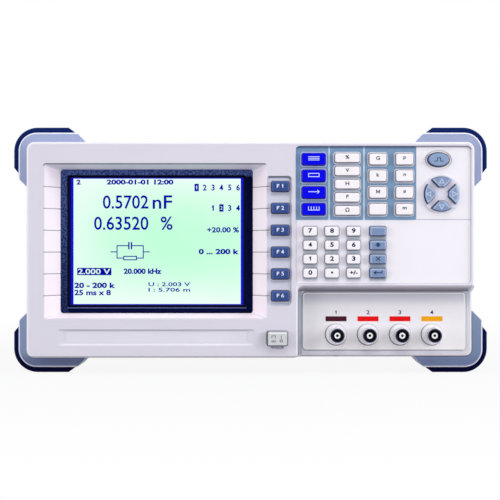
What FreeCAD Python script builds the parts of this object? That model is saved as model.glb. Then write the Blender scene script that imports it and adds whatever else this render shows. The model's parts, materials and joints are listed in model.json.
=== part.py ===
import FreeCAD, Part
import math
import os

# Bench component tester, in millimetres.
# X runs to the right, Y runs back from the front face, Z runs up.
# The origin is on the table, under the middle of the whole instrument.

Vector = FreeCAD.Vector

# Whole instrument
OVERALL_DEPTH = 340.0
BODY_CORNER = 5.2
GUARD_OVERHANG = 14.0

# Moulded front panel
PANEL_WALL = 2.5
SKIRT_WALL = 2.6
SKIRT_DEPTH = 40.0
FACE_ROUND = 1.2
RIM_CHAMFER = 0.4
LEFT_RIM = 11.3
RIGHT_RIM = 2.1
TOP_RIM = 2.8
MIDDLE_RIB = 3.1
DISPLAY_TOP_MARGIN = 14.4
NAME_STRIP = 26.2

# Screen and the sunk surround that leads to it
SCREEN_WIDTH = 115.2
SCREEN_HEIGHT = 86.4
SCREEN_BORDER_SIDE = 3.0
SCREEN_BORDER_END = 1.25
BEZEL_FACE_SIDE = 4.4
BEZEL_FACE_END = 3.7
BEZEL_BEVEL = 1.6
BEZEL_THICK = 3.0
BEZEL_LAP = 2.4
RECESS_SLOPE_SIDE = 9.7
RECESS_SLOPE_END = 3.45
RECESS_DEPTH = 15.0
RECESS_CORNER = 2.0
LINE_WIDTH = 0.5
LINE_DEPTH = 0.35
MODULE_EDGE_SIDE = 9.5
MODULE_EDGE_END = 7.0
MODULE_DEPTH = 9.0
MODULE_EAR_WIDTH = 12.0
MODULE_EAR_THICK = 1.2
MODULE_EAR_SPACING = 100.0

# Keys: how they stand, fit and travel
KEY_RECESS = 1.5
KEY_PROUD = 3.0
KEY_TRAVEL = 1.2
KEY_CLEARANCE = 0.4
KEY_DRAFT = 0.45
KEY_EDGE = 0.5
KEY_CORNER = 1.3
EAR_REACH = 0.9
EAR_THICK = 1.2
EAR_GAP = 0.3
DOME_GAP = 0.3
DOME_HEIGHT = 1.0
DOME_RADIUS = 2.2
MAT_THICK = 1.2
KEYPAD_CORNER = 3.0

# Six keys beside the screen
FUNCTION_COUNT = 6
FUNCTION_WIDTH = 12.6
FUNCTION_HEIGHT = 7.5
FUNCTION_ROW_GAP = 7.4
FUNCTION_LEFT_GAP = 2.6
FUNCTION_RIGHT_GAP = 1.1
FUNCTION_END_GAP = 3.1

# Upper keypad zone: mode, quantity and multiplier keys
KEYPAD_EDGE_GAP = 4.1
UPPER_TOP_GAP = 4.75
UPPER_BOTTOM_GAP = 3.0
MODE_COUNT = 4
MODE_WIDTH = 16.4
MODE_HEIGHT = 8.5
MODE_ROW_GAP = 2.85
MODE_GAP = 5.95
QUANTITY_COUNT = 5
QUANTITY_WIDTH = 17.3
QUANTITY_HEIGHT = 6.7
QUANTITY_ROW_GAP = 2.25
QUANTITY_GAP = 6.1
MULTIPLIER_WIDTH = 12.1
MULTIPLIER_HEIGHT = 8.1
MULTIPLIER_GAP = 6.0
ZONE_EDGE_GAP = 2.15

# Trigger key and arrow keys
TRIGGER_WIDTH = 15.4
TRIGGER_HEIGHT = 10.2
TRIGGER_DRAFT = 1.0
TRIGGER_RIM = 1.2
TRIGGER_TOP_GAP = 3.0
TRIGGER_SHIFT = 1.9
TRIGGER_TO_DISH = 3.3
DISH_RADIUS = 13.8
DISH_DEPTH = 0.5
DISH_SLOPE = 0.8
DISH_SIDE_GAP = 3.2
DISH_EDGE_GAP = 6.7
DISH_BOTTOM_GAP = 2.8
ARROW_OUTER = 11.6
ARROW_INNER = 5.0
ARROW_BAND = 4.1

# Lower keypad zone: number and entry keys
NUMBER_WIDTH = 9.8
NUMBER_HEIGHT = 6.8
NUMBER_ROW_GAP = 2.7
NUMBER_GAP = 4.95
NUMBER_EDGE_GAP = 5.0
NUMBER_END_GAP = 4.3
ENTRY_WIDTH = 11.5
ENTRY_GAP = 5.9

# Pocket with the coaxial jacks
POCKET_DEPTH = 10.0
POCKET_HEIGHT = 49.0
POCKET_INSET = 1.35
POCKET_RIB = 1.0
POCKET_SLOPE_SIDE = 3.1
POCKET_SLOPE_TOP = 4.0
POCKET_CORNER = 4.0
STEP_CORNER = 2.6
PLATE_MARGIN = 3.9
PLATE_INSET = 0.6
PLATE_CORNER = 3.2
JACK_COUNT = 4
JACK_PITCH = 22.0
JACK_RISE = 15.3
JACK_LENGTH = 15.0
JACK_RADIUS = 4.8
JACK_BASE_RADIUS = 5.0
JACK_BORE = 4.05
JACK_BORE_DEPTH = 8.5
JACK_CORE_RADIUS = 2.45
JACK_CORE_SHORT = 0.8
JACK_CONTACT_RADIUS = 0.75
JACK_CONTACT_DEPTH = 5.0
JACK_FLANGE_RADIUS = 7.0
JACK_FLANGE_THICK = 2.0
JACK_LUG_RADIUS = 1.0
JACK_LUG_REACH = 0.8
JACK_LUG_SETBACK = 5.2
JACK_THREAD_RADIUS = 4.6
JACK_NUT_RADIUS = 7.2
JACK_NUT_THICK = 2.4
JACK_TAIL = 9.0
JACK_FIT = 0.15

# Power button and its switch
BUTTON_WIDTH = 14.0
BUTTON_HEIGHT = 9.9
BUTTON_CORNER = 1.2
BUTTON_EDGE = 0.8
BUTTON_PROUD = 4.5
BUTTON_TRAVEL = 3.0
BUTTON_OFFSET = 6.9
BUTTON_RISE = 13.2
BUTTON_STEM = 4.0
BUTTON_STEM_LENGTH = 6.0
NOTCH_WIDTH = 8.2
NOTCH_HEIGHT = 2.4
NOTCH_DEPTH = 1.5
GUIDE_WALL = 1.5
GUIDE_LENGTH = 14.0
SWITCH_WIDTH = 16.0
SWITCH_HEIGHT = 14.0
SWITCH_LENGTH = 24.0
SWITCH_SOCKET = 11.0

# Bare strip for a nameplate
NAMEPLATE_RISE = 8.4
NAMEPLATE_HEIGHT = 10.9
NAMEPLATE_END = 5.5
NAMEPLATE_SIDE = 1.4
NAMEPLATE_DEPTH = 1.0
NAMEPLATE_SETBACK = 9.9
NAMEPLATE_SHORT = 8.3

# Corner guards and the rubber bumpers on them
GUARD_THICK = 7.2
GUARD_ARM_X = 40.0
GUARD_ARM_Z = 31.5
GUARD_END_RUN = 7.2
GUARD_LENGTH = 42.0
GUARD_SETBACK = 10.0
GUARD_EDGE = 1.2
BUMPER_THICK = 3.8
BUMPER_ARM_X = 31.0
BUMPER_ARM_Z = 21.0
BUMPER_END_RUN = 4.5
BUMPER_LENGTH = 27.0
BUMPER_SETBACK = 4.0
BUMPER_EDGE = 1.6

# Sheet metal case
COVER_SHEET = 1.2
CHASSIS_SHEET = 1.5
REAR_SHEET = 1.5
LAP_RISE = 3.0
CHASSIS_FLANGE = 13.0
TONGUE_LENGTH = 14.0
TONGUE_WIDTH = 180.0
REAR_INSET = 3.0
REAR_FLANGE = 10.0
SHEET_FIT = 0.1
VENT_COUNT = 13
VENT_WIDTH = 3.0
VENT_PITCH = 8.0
VENT_HEIGHT = 30.0
REAR_VENT_RISE = 29.0

# Boards, power supply and standoffs
BOARD_THICK = 1.6
BOARD_MARGIN = 2.0
STANDOFF_HEIGHT = 8.0
STANDOFF_RADIUS = 3.0
STANDOFF_INSET = 6.0
MAIN_BOARD_WIDTH = 160.0
MAIN_BOARD_DEPTH = 170.0
MAIN_BOARD_GAP = 12.0
BRIDGE_WIDTH = 92.0
BRIDGE_DEPTH = 56.0
BRIDGE_HEIGHT = 26.0
CHIP_SIZE = 14.0
CHIP_HEIGHT = 2.4
CHIP_COLUMNS = 4
CHIP_ROWS = 3
SUPPLY_WIDTH = 76.0
SUPPLY_DEPTH = 120.0
SUPPLY_GAP = 8.0
TRANSFORMER_SIZE = 38.0
TRANSFORMER_HEIGHT = 34.0
CAPACITOR_RADIUS = 9.0
CAPACITOR_HEIGHT = 30.0
CAPACITOR_SPACING = 20.0
HEATSINK_THICK = 4.0
HEATSINK_HEIGHT = 32.0
BOSS_RADIUS = 2.4
BOSS_CLEARANCE = 0.3

# Rear sockets
INLET_WIDTH = 24.6
INLET_HEIGHT = 16.8
INLET_WALL = 1.5
INLET_DEPTH = 16.0
INLET_FLOOR = 2.5
INLET_CHAMFER = 4.0
INLET_FLANGE_WIDTH = 50.0
INLET_FLANGE_HEIGHT = 23.0
INLET_FLANGE_THICK = 2.5
INLET_SCREW_SPACING = 40.0
INLET_X = -105.0
INLET_RISE = 34.0
BLADE_WIDTH = 2.0
BLADE_HEIGHT = 4.0
BLADE_LENGTH = 12.0
BLADE_SPREAD = 7.0
BLADE_STEP = 2.0
SOCKET_RISE = 34.0
SOCKET_TAIL = 10.0
SOCKET_FLANGE_THICK = 1.2
SOCKET_SHELL_WALL = 0.6
SOCKET_POST_RADIUS = 2.5
SOCKET_POST_LENGTH = 5.0
SERIAL_X = 105.0
SERIAL_FLANGE_WIDTH = 30.8
SERIAL_FLANGE_HEIGHT = 12.5
SERIAL_SHELL_WIDTH = 17.0
SERIAL_SHELL_HEIGHT = 8.4
SERIAL_SHELL_LENGTH = 6.0
SERIAL_POST_SPACING = 25.0
BUS_X = 48.0
BUS_FLANGE_WIDTH = 53.0
BUS_FLANGE_HEIGHT = 15.5
BUS_SHELL_WIDTH = 37.0
BUS_SHELL_HEIGHT = 11.5
BUS_SHELL_LENGTH = 7.0
BUS_POST_SPACING = 45.5
REAR_JACK_X = 0.0

# Screws
SCREW_RADIUS = 1.5
SCREW_HOLE = 1.7
SCREW_TAP = 1.55
SCREW_HEAD_RADIUS = 2.75
SCREW_HEAD_HEIGHT = 1.8
SCREW_SLOT_WIDTH = 0.8
SCREW_SLOT_LENGTH = 3.4
SCREW_SLOT_DEPTH = 0.9
SCREW_BITE = 3.5
SCREW_SINK = 3.0
SIDE_SCREW_COUNT = 3
REAR_SCREW_SPREAD = 25.0

# How far a cutting tool runs past the faces it cuts
PAST = 2.0

# Screen surround, worked out from the screen
WINDOW_WIDTH = SCREEN_WIDTH + 2 * SCREEN_BORDER_SIDE
WINDOW_HEIGHT = SCREEN_HEIGHT + 2 * SCREEN_BORDER_END
INNER_WIDTH = WINDOW_WIDTH + 2 * (BEZEL_FACE_SIDE + BEZEL_BEVEL)
INNER_HEIGHT = WINDOW_HEIGHT + 2 * (BEZEL_FACE_END + BEZEL_BEVEL)
OUTER_WIDTH = INNER_WIDTH + 2 * RECESS_SLOPE_SIDE
OUTER_HEIGHT = INNER_HEIGHT + 2 * RECESS_SLOPE_END
CHANNEL_WIDTH = FUNCTION_LEFT_GAP + FUNCTION_WIDTH + FUNCTION_RIGHT_GAP

# Keypad, worked out from its keys
MODE_PITCH = MODE_HEIGHT + MODE_ROW_GAP
QUANTITY_PITCH = QUANTITY_HEIGHT + QUANTITY_ROW_GAP
NUMBER_PITCH_X = NUMBER_WIDTH + NUMBER_GAP
NUMBER_PITCH_Z = NUMBER_HEIGHT + NUMBER_ROW_GAP
UPPER_WIDTH = (KEYPAD_EDGE_GAP + MODE_WIDTH + MODE_GAP + QUANTITY_WIDTH + QUANTITY_GAP
               + 2 * MULTIPLIER_WIDTH + MULTIPLIER_GAP + ZONE_EDGE_GAP)
KEYPAD_WIDTH = UPPER_WIDTH + DISH_SIDE_GAP + 2 * DISH_RADIUS + DISH_EDGE_GAP
MODE_STACK = UPPER_TOP_GAP + MODE_COUNT * MODE_PITCH - MODE_ROW_GAP + UPPER_BOTTOM_GAP
QUANTITY_STACK = UPPER_TOP_GAP + QUANTITY_COUNT * QUANTITY_PITCH - QUANTITY_ROW_GAP + UPPER_BOTTOM_GAP
ARROW_STACK = (TRIGGER_TOP_GAP + TRIGGER_HEIGHT + 2 * TRIGGER_RIM + TRIGGER_TO_DISH
               + 2 * DISH_RADIUS + DISH_BOTTOM_GAP)
UPPER_HEIGHT = max(MODE_STACK, QUANTITY_STACK, ARROW_STACK)
NUMBER_ROWS = 4
LOWER_HEIGHT = NUMBER_ROWS * NUMBER_PITCH_Z - NUMBER_ROW_GAP + 2 * NUMBER_END_GAP

# Body, worked out from what the front panel holds
BODY_WIDTH = LEFT_RIM + OUTER_WIDTH + CHANNEL_WIDTH + MIDDLE_RIB + KEYPAD_WIDTH + RIGHT_RIM
KEYPAD_SIDE_HEIGHT = TOP_RIM + UPPER_HEIGHT + LOWER_HEIGHT + POCKET_RIB + POCKET_HEIGHT
DISPLAY_SIDE_HEIGHT = NAME_STRIP + OUTER_HEIGHT + DISPLAY_TOP_MARGIN
BODY_HEIGHT = max(KEYPAD_SIDE_HEIGHT, DISPLAY_SIDE_HEIGHT)
GUARD_IN = SHEET_FIT
GUARD_OUT = GUARD_IN + GUARD_THICK
BUMPER_IN = GUARD_OUT + SHEET_FIT
BUMPER_OUT = BUMPER_IN + BUMPER_THICK
BODY_BOTTOM = BUMPER_OUT
BODY_TOP = BODY_BOTTOM + BODY_HEIGHT
BODY_MIDDLE = (BODY_BOTTOM + BODY_TOP) / 2
BODY_LEFT = -BODY_WIDTH / 2
BODY_RIGHT = BODY_WIDTH / 2
BODY_AREA = (BODY_LEFT, BODY_RIGHT, BODY_BOTTOM, BODY_TOP)

# Places along the depth: the frontmost of the jacks, keys and button sets the front face
PLATE_DEPTH = POCKET_DEPTH + PLATE_INSET
FRONT_REACH = max(JACK_LENGTH - PLATE_DEPTH, KEY_PROUD - KEY_RECESS, BUTTON_PROUD)
FRONT_FACE = -OVERALL_DEPTH / 2 + FRONT_REACH
REAR_END = OVERALL_DEPTH / 2
CASE_REAR = REAR_END - GUARD_OVERHANG
CAVITY_DEPTH = KEY_RECESS + PANEL_WALL
EAR_DEPTH = CAVITY_DEPTH + EAR_GAP
KEY_BACK = EAR_DEPTH + EAR_THICK
DOME_DEPTH = KEY_BACK + KEY_TRAVEL + DOME_GAP
MAT_DEPTH = DOME_DEPTH + DOME_HEIGHT
BOARD_DEPTH = MAT_DEPTH + MAT_THICK
BEZEL_BACK = RECESS_DEPTH + BEZEL_THICK
GUIDE_END = CAVITY_DEPTH + GUIDE_LENGTH
REAR_PLATE_BACK = CASE_REAR - REAR_INSET
REAR_PLATE_FRONT = REAR_PLATE_BACK - REAR_SHEET

# Places across the front
DISPLAY_LEFT = BODY_LEFT + LEFT_RIM
DISPLAY_X = DISPLAY_LEFT + OUTER_WIDTH / 2
DISPLAY_Z = BODY_BOTTOM + NAME_STRIP + OUTER_HEIGHT / 2
CHANNEL_LEFT = DISPLAY_LEFT + OUTER_WIDTH
CHANNEL_RIGHT = CHANNEL_LEFT + CHANNEL_WIDTH
FUNCTION_X = CHANNEL_LEFT + FUNCTION_LEFT_GAP + FUNCTION_WIDTH / 2
FUNCTION_PITCH = FUNCTION_HEIGHT + FUNCTION_ROW_GAP
FUNCTION_HALF = (FUNCTION_COUNT * FUNCTION_PITCH - FUNCTION_ROW_GAP) / 2 + FUNCTION_END_GAP
KEYPAD_LEFT = CHANNEL_RIGHT + MIDDLE_RIB
KEYPAD_RIGHT = KEYPAD_LEFT + KEYPAD_WIDTH
KEYPAD_TOP = BODY_TOP - TOP_RIM
ZONE_LINE = KEYPAD_TOP - UPPER_HEIGHT
KEYPAD_BOTTOM = ZONE_LINE - LOWER_HEIGHT
ZONE_RIGHT = KEYPAD_LEFT + UPPER_WIDTH
MODE_X = KEYPAD_LEFT + KEYPAD_EDGE_GAP + MODE_WIDTH / 2
QUANTITY_X = MODE_X + MODE_WIDTH / 2 + MODE_GAP + QUANTITY_WIDTH / 2
MULTIPLIER_X = QUANTITY_X + QUANTITY_WIDTH / 2 + QUANTITY_GAP + MULTIPLIER_WIDTH / 2
UPPER_MIDDLE = KEYPAD_TOP - UPPER_TOP_GAP - (UPPER_HEIGHT - UPPER_TOP_GAP - UPPER_BOTTOM_GAP) / 2
NUMBER_X = KEYPAD_LEFT + NUMBER_EDGE_GAP + NUMBER_WIDTH / 2
NUMBER_TOP = ZONE_LINE - NUMBER_END_GAP - NUMBER_HEIGHT / 2
ENTRY_X = NUMBER_X + 2 * NUMBER_PITCH_X + NUMBER_WIDTH / 2 + ENTRY_GAP + ENTRY_WIDTH / 2
CURSOR_X = ZONE_RIGHT + DISH_SIDE_GAP + DISH_RADIUS
TRIGGER_X = CURSOR_X - TRIGGER_SHIFT
TRIGGER_Z = KEYPAD_TOP - TRIGGER_TOP_GAP - TRIGGER_RIM - TRIGGER_HEIGHT / 2
CURSOR_Z = TRIGGER_Z - TRIGGER_HEIGHT / 2 - TRIGGER_RIM - TRIGGER_TO_DISH - DISH_RADIUS
POCKET_LEFT = KEYPAD_LEFT + POCKET_INSET
POCKET_TOP = KEYPAD_BOTTOM - POCKET_RIB
PLATE_LEFT = POCKET_LEFT + POCKET_SLOPE_SIDE
PLATE_RIGHT = BODY_RIGHT - PLATE_MARGIN
PLATE_BOTTOM = BODY_BOTTOM + PLATE_MARGIN
PLATE_TOP = POCKET_TOP - POCKET_SLOPE_TOP
JACK_X = (PLATE_LEFT + PLATE_RIGHT) / 2 - (JACK_COUNT - 1) * JACK_PITCH / 2
JACK_Z = BODY_BOTTOM + JACK_RISE
BUTTON_X = CHANNEL_LEFT + BUTTON_OFFSET
BUTTON_Z = BODY_BOTTOM + BUTTON_RISE
FLOOR = BODY_BOTTOM + CHASSIS_SHEET
LAP = BODY_BOTTOM + BODY_CORNER + LAP_RISE
SIDE_INNER = BODY_RIGHT - COVER_SHEET - SHEET_FIT


def depth(distance):
    """Y of a plane this far behind the front face."""
    return FRONT_FACE + distance


def grow(area, side, end=None):
    """An area (x0, x1, z0, z1) widened by side, and by end in height."""
    rise = side if end is None else end
    return (area[0] - side, area[1] + side, area[2] - rise, area[3] + rise)


def area_at(x, z, width, height):
    return (x - width / 2, x + width / 2, z - height / 2, z + height / 2)


def block(x0, x1, y0, y1, z0, z1):
    return Part.makeBox(x1 - x0, y1 - y0, z1 - z0, Vector(x0, y0, z0))


def rod(x, y, z, direction, radius, length):
    return Part.makeCylinder(radius, length, Vector(x, y, z), direction)


BACKWARD = Vector(0, 1, 0)
FORWARD = Vector(0, -1, 0)
UPWARD = Vector(0, 0, 1)
DOWNWARD = Vector(0, 0, -1)


def rounded_outline(area, corner, y):
    """Closed outline of a rectangle with round corners, in the plane y."""
    x0, x1, z0, z1 = area
    turns = ((x1, z1, -1, -1, 0), (x0, z1, 1, -1, 90), (x0, z0, 1, 1, 180), (x1, z0, -1, 1, 270))
    arcs = []
    for x, z, side, rise, start in turns:
        points = []
        for angle in (start, start + 45, start + 90):
            turn = math.radians(angle)
            across = side + math.cos(turn)
            up = rise + math.sin(turn)
            points.append(Vector(x + corner * across, y, z + corner * up))
        arcs.append(points)
    edges = []
    for index, points in enumerate(arcs):
        edges.append(Part.Arc(*points).toShape())
        edges.append(Part.makeLine(points[2], arcs[(index + 1) % len(arcs)][0]))
    return Part.Wire(edges)


def oval_outline(x, z, width, height, y):
    ellipse = Part.Ellipse(Vector(x + width / 2, y, z), Vector(x, y, z + height / 2), Vector(x, y, z))
    return Part.Wire([ellipse.toShape()])


def prism(area, corner, y0, y1):
    return Part.Face(rounded_outline(area, corner, y0)).extrude(Vector(0, y1 - y0, 0))


def taper(area0, corner0, y0, area1, corner1, y1):
    """A solid that runs straight from one rounded rectangle to another."""
    outlines = [rounded_outline(area0, corner0, y0), rounded_outline(area1, corner1, y1)]
    return Part.makeLoft(outlines, True, True)


def recess(area, corner, floor):
    """Tool for a flat recess in the front face, with a chamfered rim."""
    rim = taper(grow(area, RIM_CHAMFER), corner + RIM_CHAMFER, depth(0), area, corner, depth(RIM_CHAMFER))
    return rim.fuse(prism(area, corner, depth(0), depth(floor)))


def joined(shapes):
    return shapes[0].multiFuse(shapes[1:]).removeSplitter()


def edges_in_plane(shape, y):
    return [edge for edge in shape.Edges if abs(edge.BoundBox.YMin - y) + abs(edge.BoundBox.YMax - y) < 1e-4]


def rounded_front(shape, radius, y):
    return shape.makeFillet(radius, edges_in_plane(shape, y))


# Screen surround
def display_area(distance, extra=0.0):
    """Outline of the sunk surround at a distance behind the front face."""
    share = distance / RECESS_DEPTH
    width = OUTER_WIDTH - 2 * RECESS_SLOPE_SIDE * share
    height = OUTER_HEIGHT - 2 * RECESS_SLOPE_END * share
    return grow(area_at(DISPLAY_X, DISPLAY_Z, width, height), extra)


WINDOW_AREA = area_at(DISPLAY_X, DISPLAY_Z, WINDOW_WIDTH, WINDOW_HEIGHT)
MODULE_BOSS_RISE = OUTER_HEIGHT / 2 + PANEL_WALL + BOSS_RADIUS + BOSS_CLEARANCE
MODULE_BOSSES = [(DISPLAY_X + side * MODULE_EAR_SPACING / 2, DISPLAY_Z + rise * MODULE_BOSS_RISE)
                 for side in (-1, 1) for rise in (-1, 1)]


def display_bezel():
    front = depth(RECESS_DEPTH)
    outside = prism(grow(display_area(RECESS_DEPTH), BEZEL_LAP), RECESS_CORNER, front, depth(BEZEL_BACK))
    bevel = taper(grow(WINDOW_AREA, BEZEL_BEVEL), RECESS_CORNER, front,
                  WINDOW_AREA, RECESS_CORNER / 2, depth(RECESS_DEPTH + BEZEL_BEVEL))
    window = prism(WINDOW_AREA, RECESS_CORNER / 2, front + BEZEL_BEVEL, depth(BEZEL_BACK) + PAST)
    return outside.cut([bevel, window])


def lcd_module():
    x0, x1, z0, z1 = grow(WINDOW_AREA, MODULE_EDGE_SIDE, MODULE_EDGE_END)
    pieces = [block(x0, x1, depth(BEZEL_BACK), depth(BEZEL_BACK + MODULE_DEPTH), z0, z1)]
    holes = []
    for x, z in MODULE_BOSSES:
        low = min(DISPLAY_Z, z - BOSS_RADIUS)
        high = max(DISPLAY_Z, z + BOSS_RADIUS)
        pieces.append(block(x - MODULE_EAR_WIDTH / 2, x + MODULE_EAR_WIDTH / 2, depth(BEZEL_BACK),
                            depth(BEZEL_BACK + MODULE_EAR_THICK), low, high))
        holes.append(rod(x, depth(BEZEL_BACK) - PAST, z, BACKWARD, SCREW_HOLE, MODULE_EAR_THICK + 2 * PAST))
    return joined(pieces).cut(holes)


# Keys
def column(x, middle, count, pitch, width, height):
    """Areas of a column of keys, from the top down."""
    top = middle + (count - 1) * pitch / 2
    return [area_at(x, top - row * pitch, width, height) for row in range(count)]


def key_areas():
    """Outline of every rectangular key, by name."""
    areas = {}
    functions = column(FUNCTION_X, DISPLAY_Z, FUNCTION_COUNT, FUNCTION_PITCH, FUNCTION_WIDTH,
                       FUNCTION_HEIGHT)
    for row, area in enumerate(functions):
        areas[f"function_key_{row + 1}"] = area
    modes = column(MODE_X, UPPER_MIDDLE, MODE_COUNT, MODE_PITCH, MODE_WIDTH, MODE_HEIGHT)
    for row, area in enumerate(modes):
        areas[f"mode_key_{row + 1}"] = area
    quantities = column(QUANTITY_X, UPPER_MIDDLE, QUANTITY_COUNT, QUANTITY_PITCH, QUANTITY_WIDTH,
                        QUANTITY_HEIGHT)
    for row, area in enumerate(quantities):
        areas[f"quantity_key_{row + 1}"] = area
    for side in range(2):
        x = MULTIPLIER_X + side * (MULTIPLIER_WIDTH + MULTIPLIER_GAP)
        multipliers = column(x, UPPER_MIDDLE, MODE_COUNT, MODE_PITCH, MULTIPLIER_WIDTH, MULTIPLIER_HEIGHT)
        for row, area in enumerate(multipliers):
            areas[f"multiplier_key_{side * MODE_COUNT + row + 1}"] = area
    names = (("number_key_7", "number_key_8", "number_key_9"),
             ("number_key_4", "number_key_5", "number_key_6"),
             ("number_key_1", "number_key_2", "number_key_3"),
             ("number_key_0", "decimal_key", "sign_key"))
    for row, row_names in enumerate(names):
        z = NUMBER_TOP - row * NUMBER_PITCH_Z
        for place, name in enumerate(row_names):
            areas[name] = area_at(NUMBER_X + place * NUMBER_PITCH_X, z, NUMBER_WIDTH, NUMBER_HEIGHT)
        areas[f"entry_key_{row + 1}"] = area_at(ENTRY_X, z, ENTRY_WIDTH, NUMBER_HEIGHT)
    return areas


KEY_AREAS = key_areas()
KEY_FACE = KEY_RECESS - KEY_PROUD


def rectangular_key(area):
    """A key cap with drafted sides, its root through the panel and two ears that hold it in."""
    cap = taper(area, KEY_CORNER, depth(KEY_RECESS), grow(area, -KEY_DRAFT), KEY_CORNER, depth(KEY_FACE))
    cap = rounded_front(cap, KEY_EDGE, depth(KEY_FACE))
    root = prism(area, KEY_CORNER, depth(KEY_RECESS), depth(KEY_BACK))
    x0, x1, z0, z1 = grow(area, EAR_REACH, -KEY_CORNER)
    ears = block(x0, x1, depth(EAR_DEPTH), depth(KEY_BACK), z0, z1)
    return joined([cap, root, ears])


def trigger_key():
    outlines = [oval_outline(TRIGGER_X, TRIGGER_Z, TRIGGER_WIDTH, TRIGGER_HEIGHT, depth(KEY_RECESS)),
                oval_outline(TRIGGER_X, TRIGGER_Z, TRIGGER_WIDTH - 2 * TRIGGER_DRAFT,
                             TRIGGER_HEIGHT - 2 * TRIGGER_DRAFT, depth(KEY_FACE))]
    cap = rounded_front(Part.makeLoft(outlines, True, True), KEY_EDGE, depth(KEY_FACE))
    root = Part.Face(outlines[0]).extrude(Vector(0, KEY_BACK - KEY_RECESS, 0))
    ear_outline = oval_outline(TRIGGER_X, TRIGGER_Z, TRIGGER_WIDTH + 2 * (KEY_CLEARANCE + EAR_REACH),
                               TRIGGER_HEIGHT + 2 * (KEY_CLEARANCE + EAR_REACH), depth(EAR_DEPTH))
    ear = Part.Face(ear_outline).extrude(Vector(0, EAR_THICK, 0))
    return joined([cap, root, ear])


ARROW_SIDES = {"arrow_up_key": (0, 1), "arrow_down_key": (0, -1),
               "arrow_left_key": (-1, 0), "arrow_right_key": (1, 0)}


def arrow_prisms(outer, inner, band, y0, y1):
    """Four ring segments parted by a diagonal cross, by key name."""
    length = y1 - y0
    ring = rod(CURSOR_X, y0, CURSOR_Z, BACKWARD, outer, length).cut(
        rod(CURSOR_X, y0 - PAST, CURSOR_Z, BACKWARD, inner, length + 2 * PAST))
    reach = outer + PAST
    bands = []
    for angle in (45, 135):
        bar = block(CURSOR_X - reach, CURSOR_X + reach, y0 - PAST, y1 + PAST,
                    CURSOR_Z - band / 2, CURSOR_Z + band / 2)
        bar.rotate(Vector(CURSOR_X, y0, CURSOR_Z), BACKWARD, angle)
        bands.append(bar)
    segments = {}
    for segment in ring.cut(bands).Solids:
        away = segment.CenterOfMass - Vector(CURSOR_X, y0, CURSOR_Z)
        for name, (side, rise) in ARROW_SIDES.items():
            if away.x * side + away.z * rise > abs(away.x * rise) + abs(away.z * side) + inner / 2:
                segments[name] = segment
    return segments


def arrow_keys():
    caps = arrow_prisms(ARROW_OUTER, ARROW_INNER, ARROW_BAND, depth(KEY_FACE), depth(KEY_BACK))
    ears = arrow_prisms(ARROW_OUTER + EAR_REACH, ARROW_INNER, ARROW_BAND, depth(EAR_DEPTH), depth(KEY_BACK))
    keys = {}
    for name in ARROW_SIDES:
        keys[name] = joined([rounded_front(caps[name], KEY_EDGE, depth(KEY_FACE)), ears[name]])
    return keys


BUTTON_AREA = area_at(BUTTON_X, BUTTON_Z, BUTTON_WIDTH, BUTTON_HEIGHT)
BUTTON_BACK = GUIDE_END - BUTTON_TRAVEL - DOME_GAP


def power_button():
    cap = prism(BUTTON_AREA, BUTTON_CORNER, depth(-BUTTON_PROUD), depth(BUTTON_BACK))
    cap = rounded_front(cap, BUTTON_EDGE, depth(-BUTTON_PROUD))
    half = BUTTON_STEM / 2
    stem = block(BUTTON_X - half, BUTTON_X + half, depth(BUTTON_BACK),
                 depth(BUTTON_BACK + BUTTON_STEM_LENGTH), BUTTON_Z - half, BUTTON_Z + half)
    return joined([cap, stem])


def key_holes():
    """Tools for the openings that the keys and the button slide in."""
    tools = []
    for area in KEY_AREAS.values():
        tools.append(prism(grow(area, KEY_CLEARANCE), KEY_CORNER + KEY_CLEARANCE, depth(0),
                           depth(CAVITY_DEPTH) + PAST))
    arrows = arrow_prisms(ARROW_OUTER + KEY_CLEARANCE, ARROW_INNER - KEY_CLEARANCE,
                          ARROW_BAND - 2 * KEY_CLEARANCE, depth(0), depth(CAVITY_DEPTH) + PAST)
    tools.extend(arrows.values())
    wide = TRIGGER_WIDTH + 2 * KEY_CLEARANCE
    high = TRIGGER_HEIGHT + 2 * KEY_CLEARANCE
    oval = oval_outline(TRIGGER_X, TRIGGER_Z, wide, high, depth(0))
    tools.append(Part.Face(oval).extrude(Vector(0, CAVITY_DEPTH + PAST, 0)))
    rim = [oval_outline(TRIGGER_X, TRIGGER_Z, wide + 2 * TRIGGER_RIM, high + 2 * TRIGGER_RIM,
                        depth(KEY_RECESS)),
           oval_outline(TRIGGER_X, TRIGGER_Z, wide, high, depth(KEY_RECESS + TRIGGER_RIM))]
    tools.append(Part.makeLoft(rim, True, True))
    tools.append(prism(grow(BUTTON_AREA, KEY_CLEARANCE), BUTTON_CORNER + KEY_CLEARANCE, depth(0) - PAST,
                       depth(GUIDE_END) + PAST))
    return tools


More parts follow.
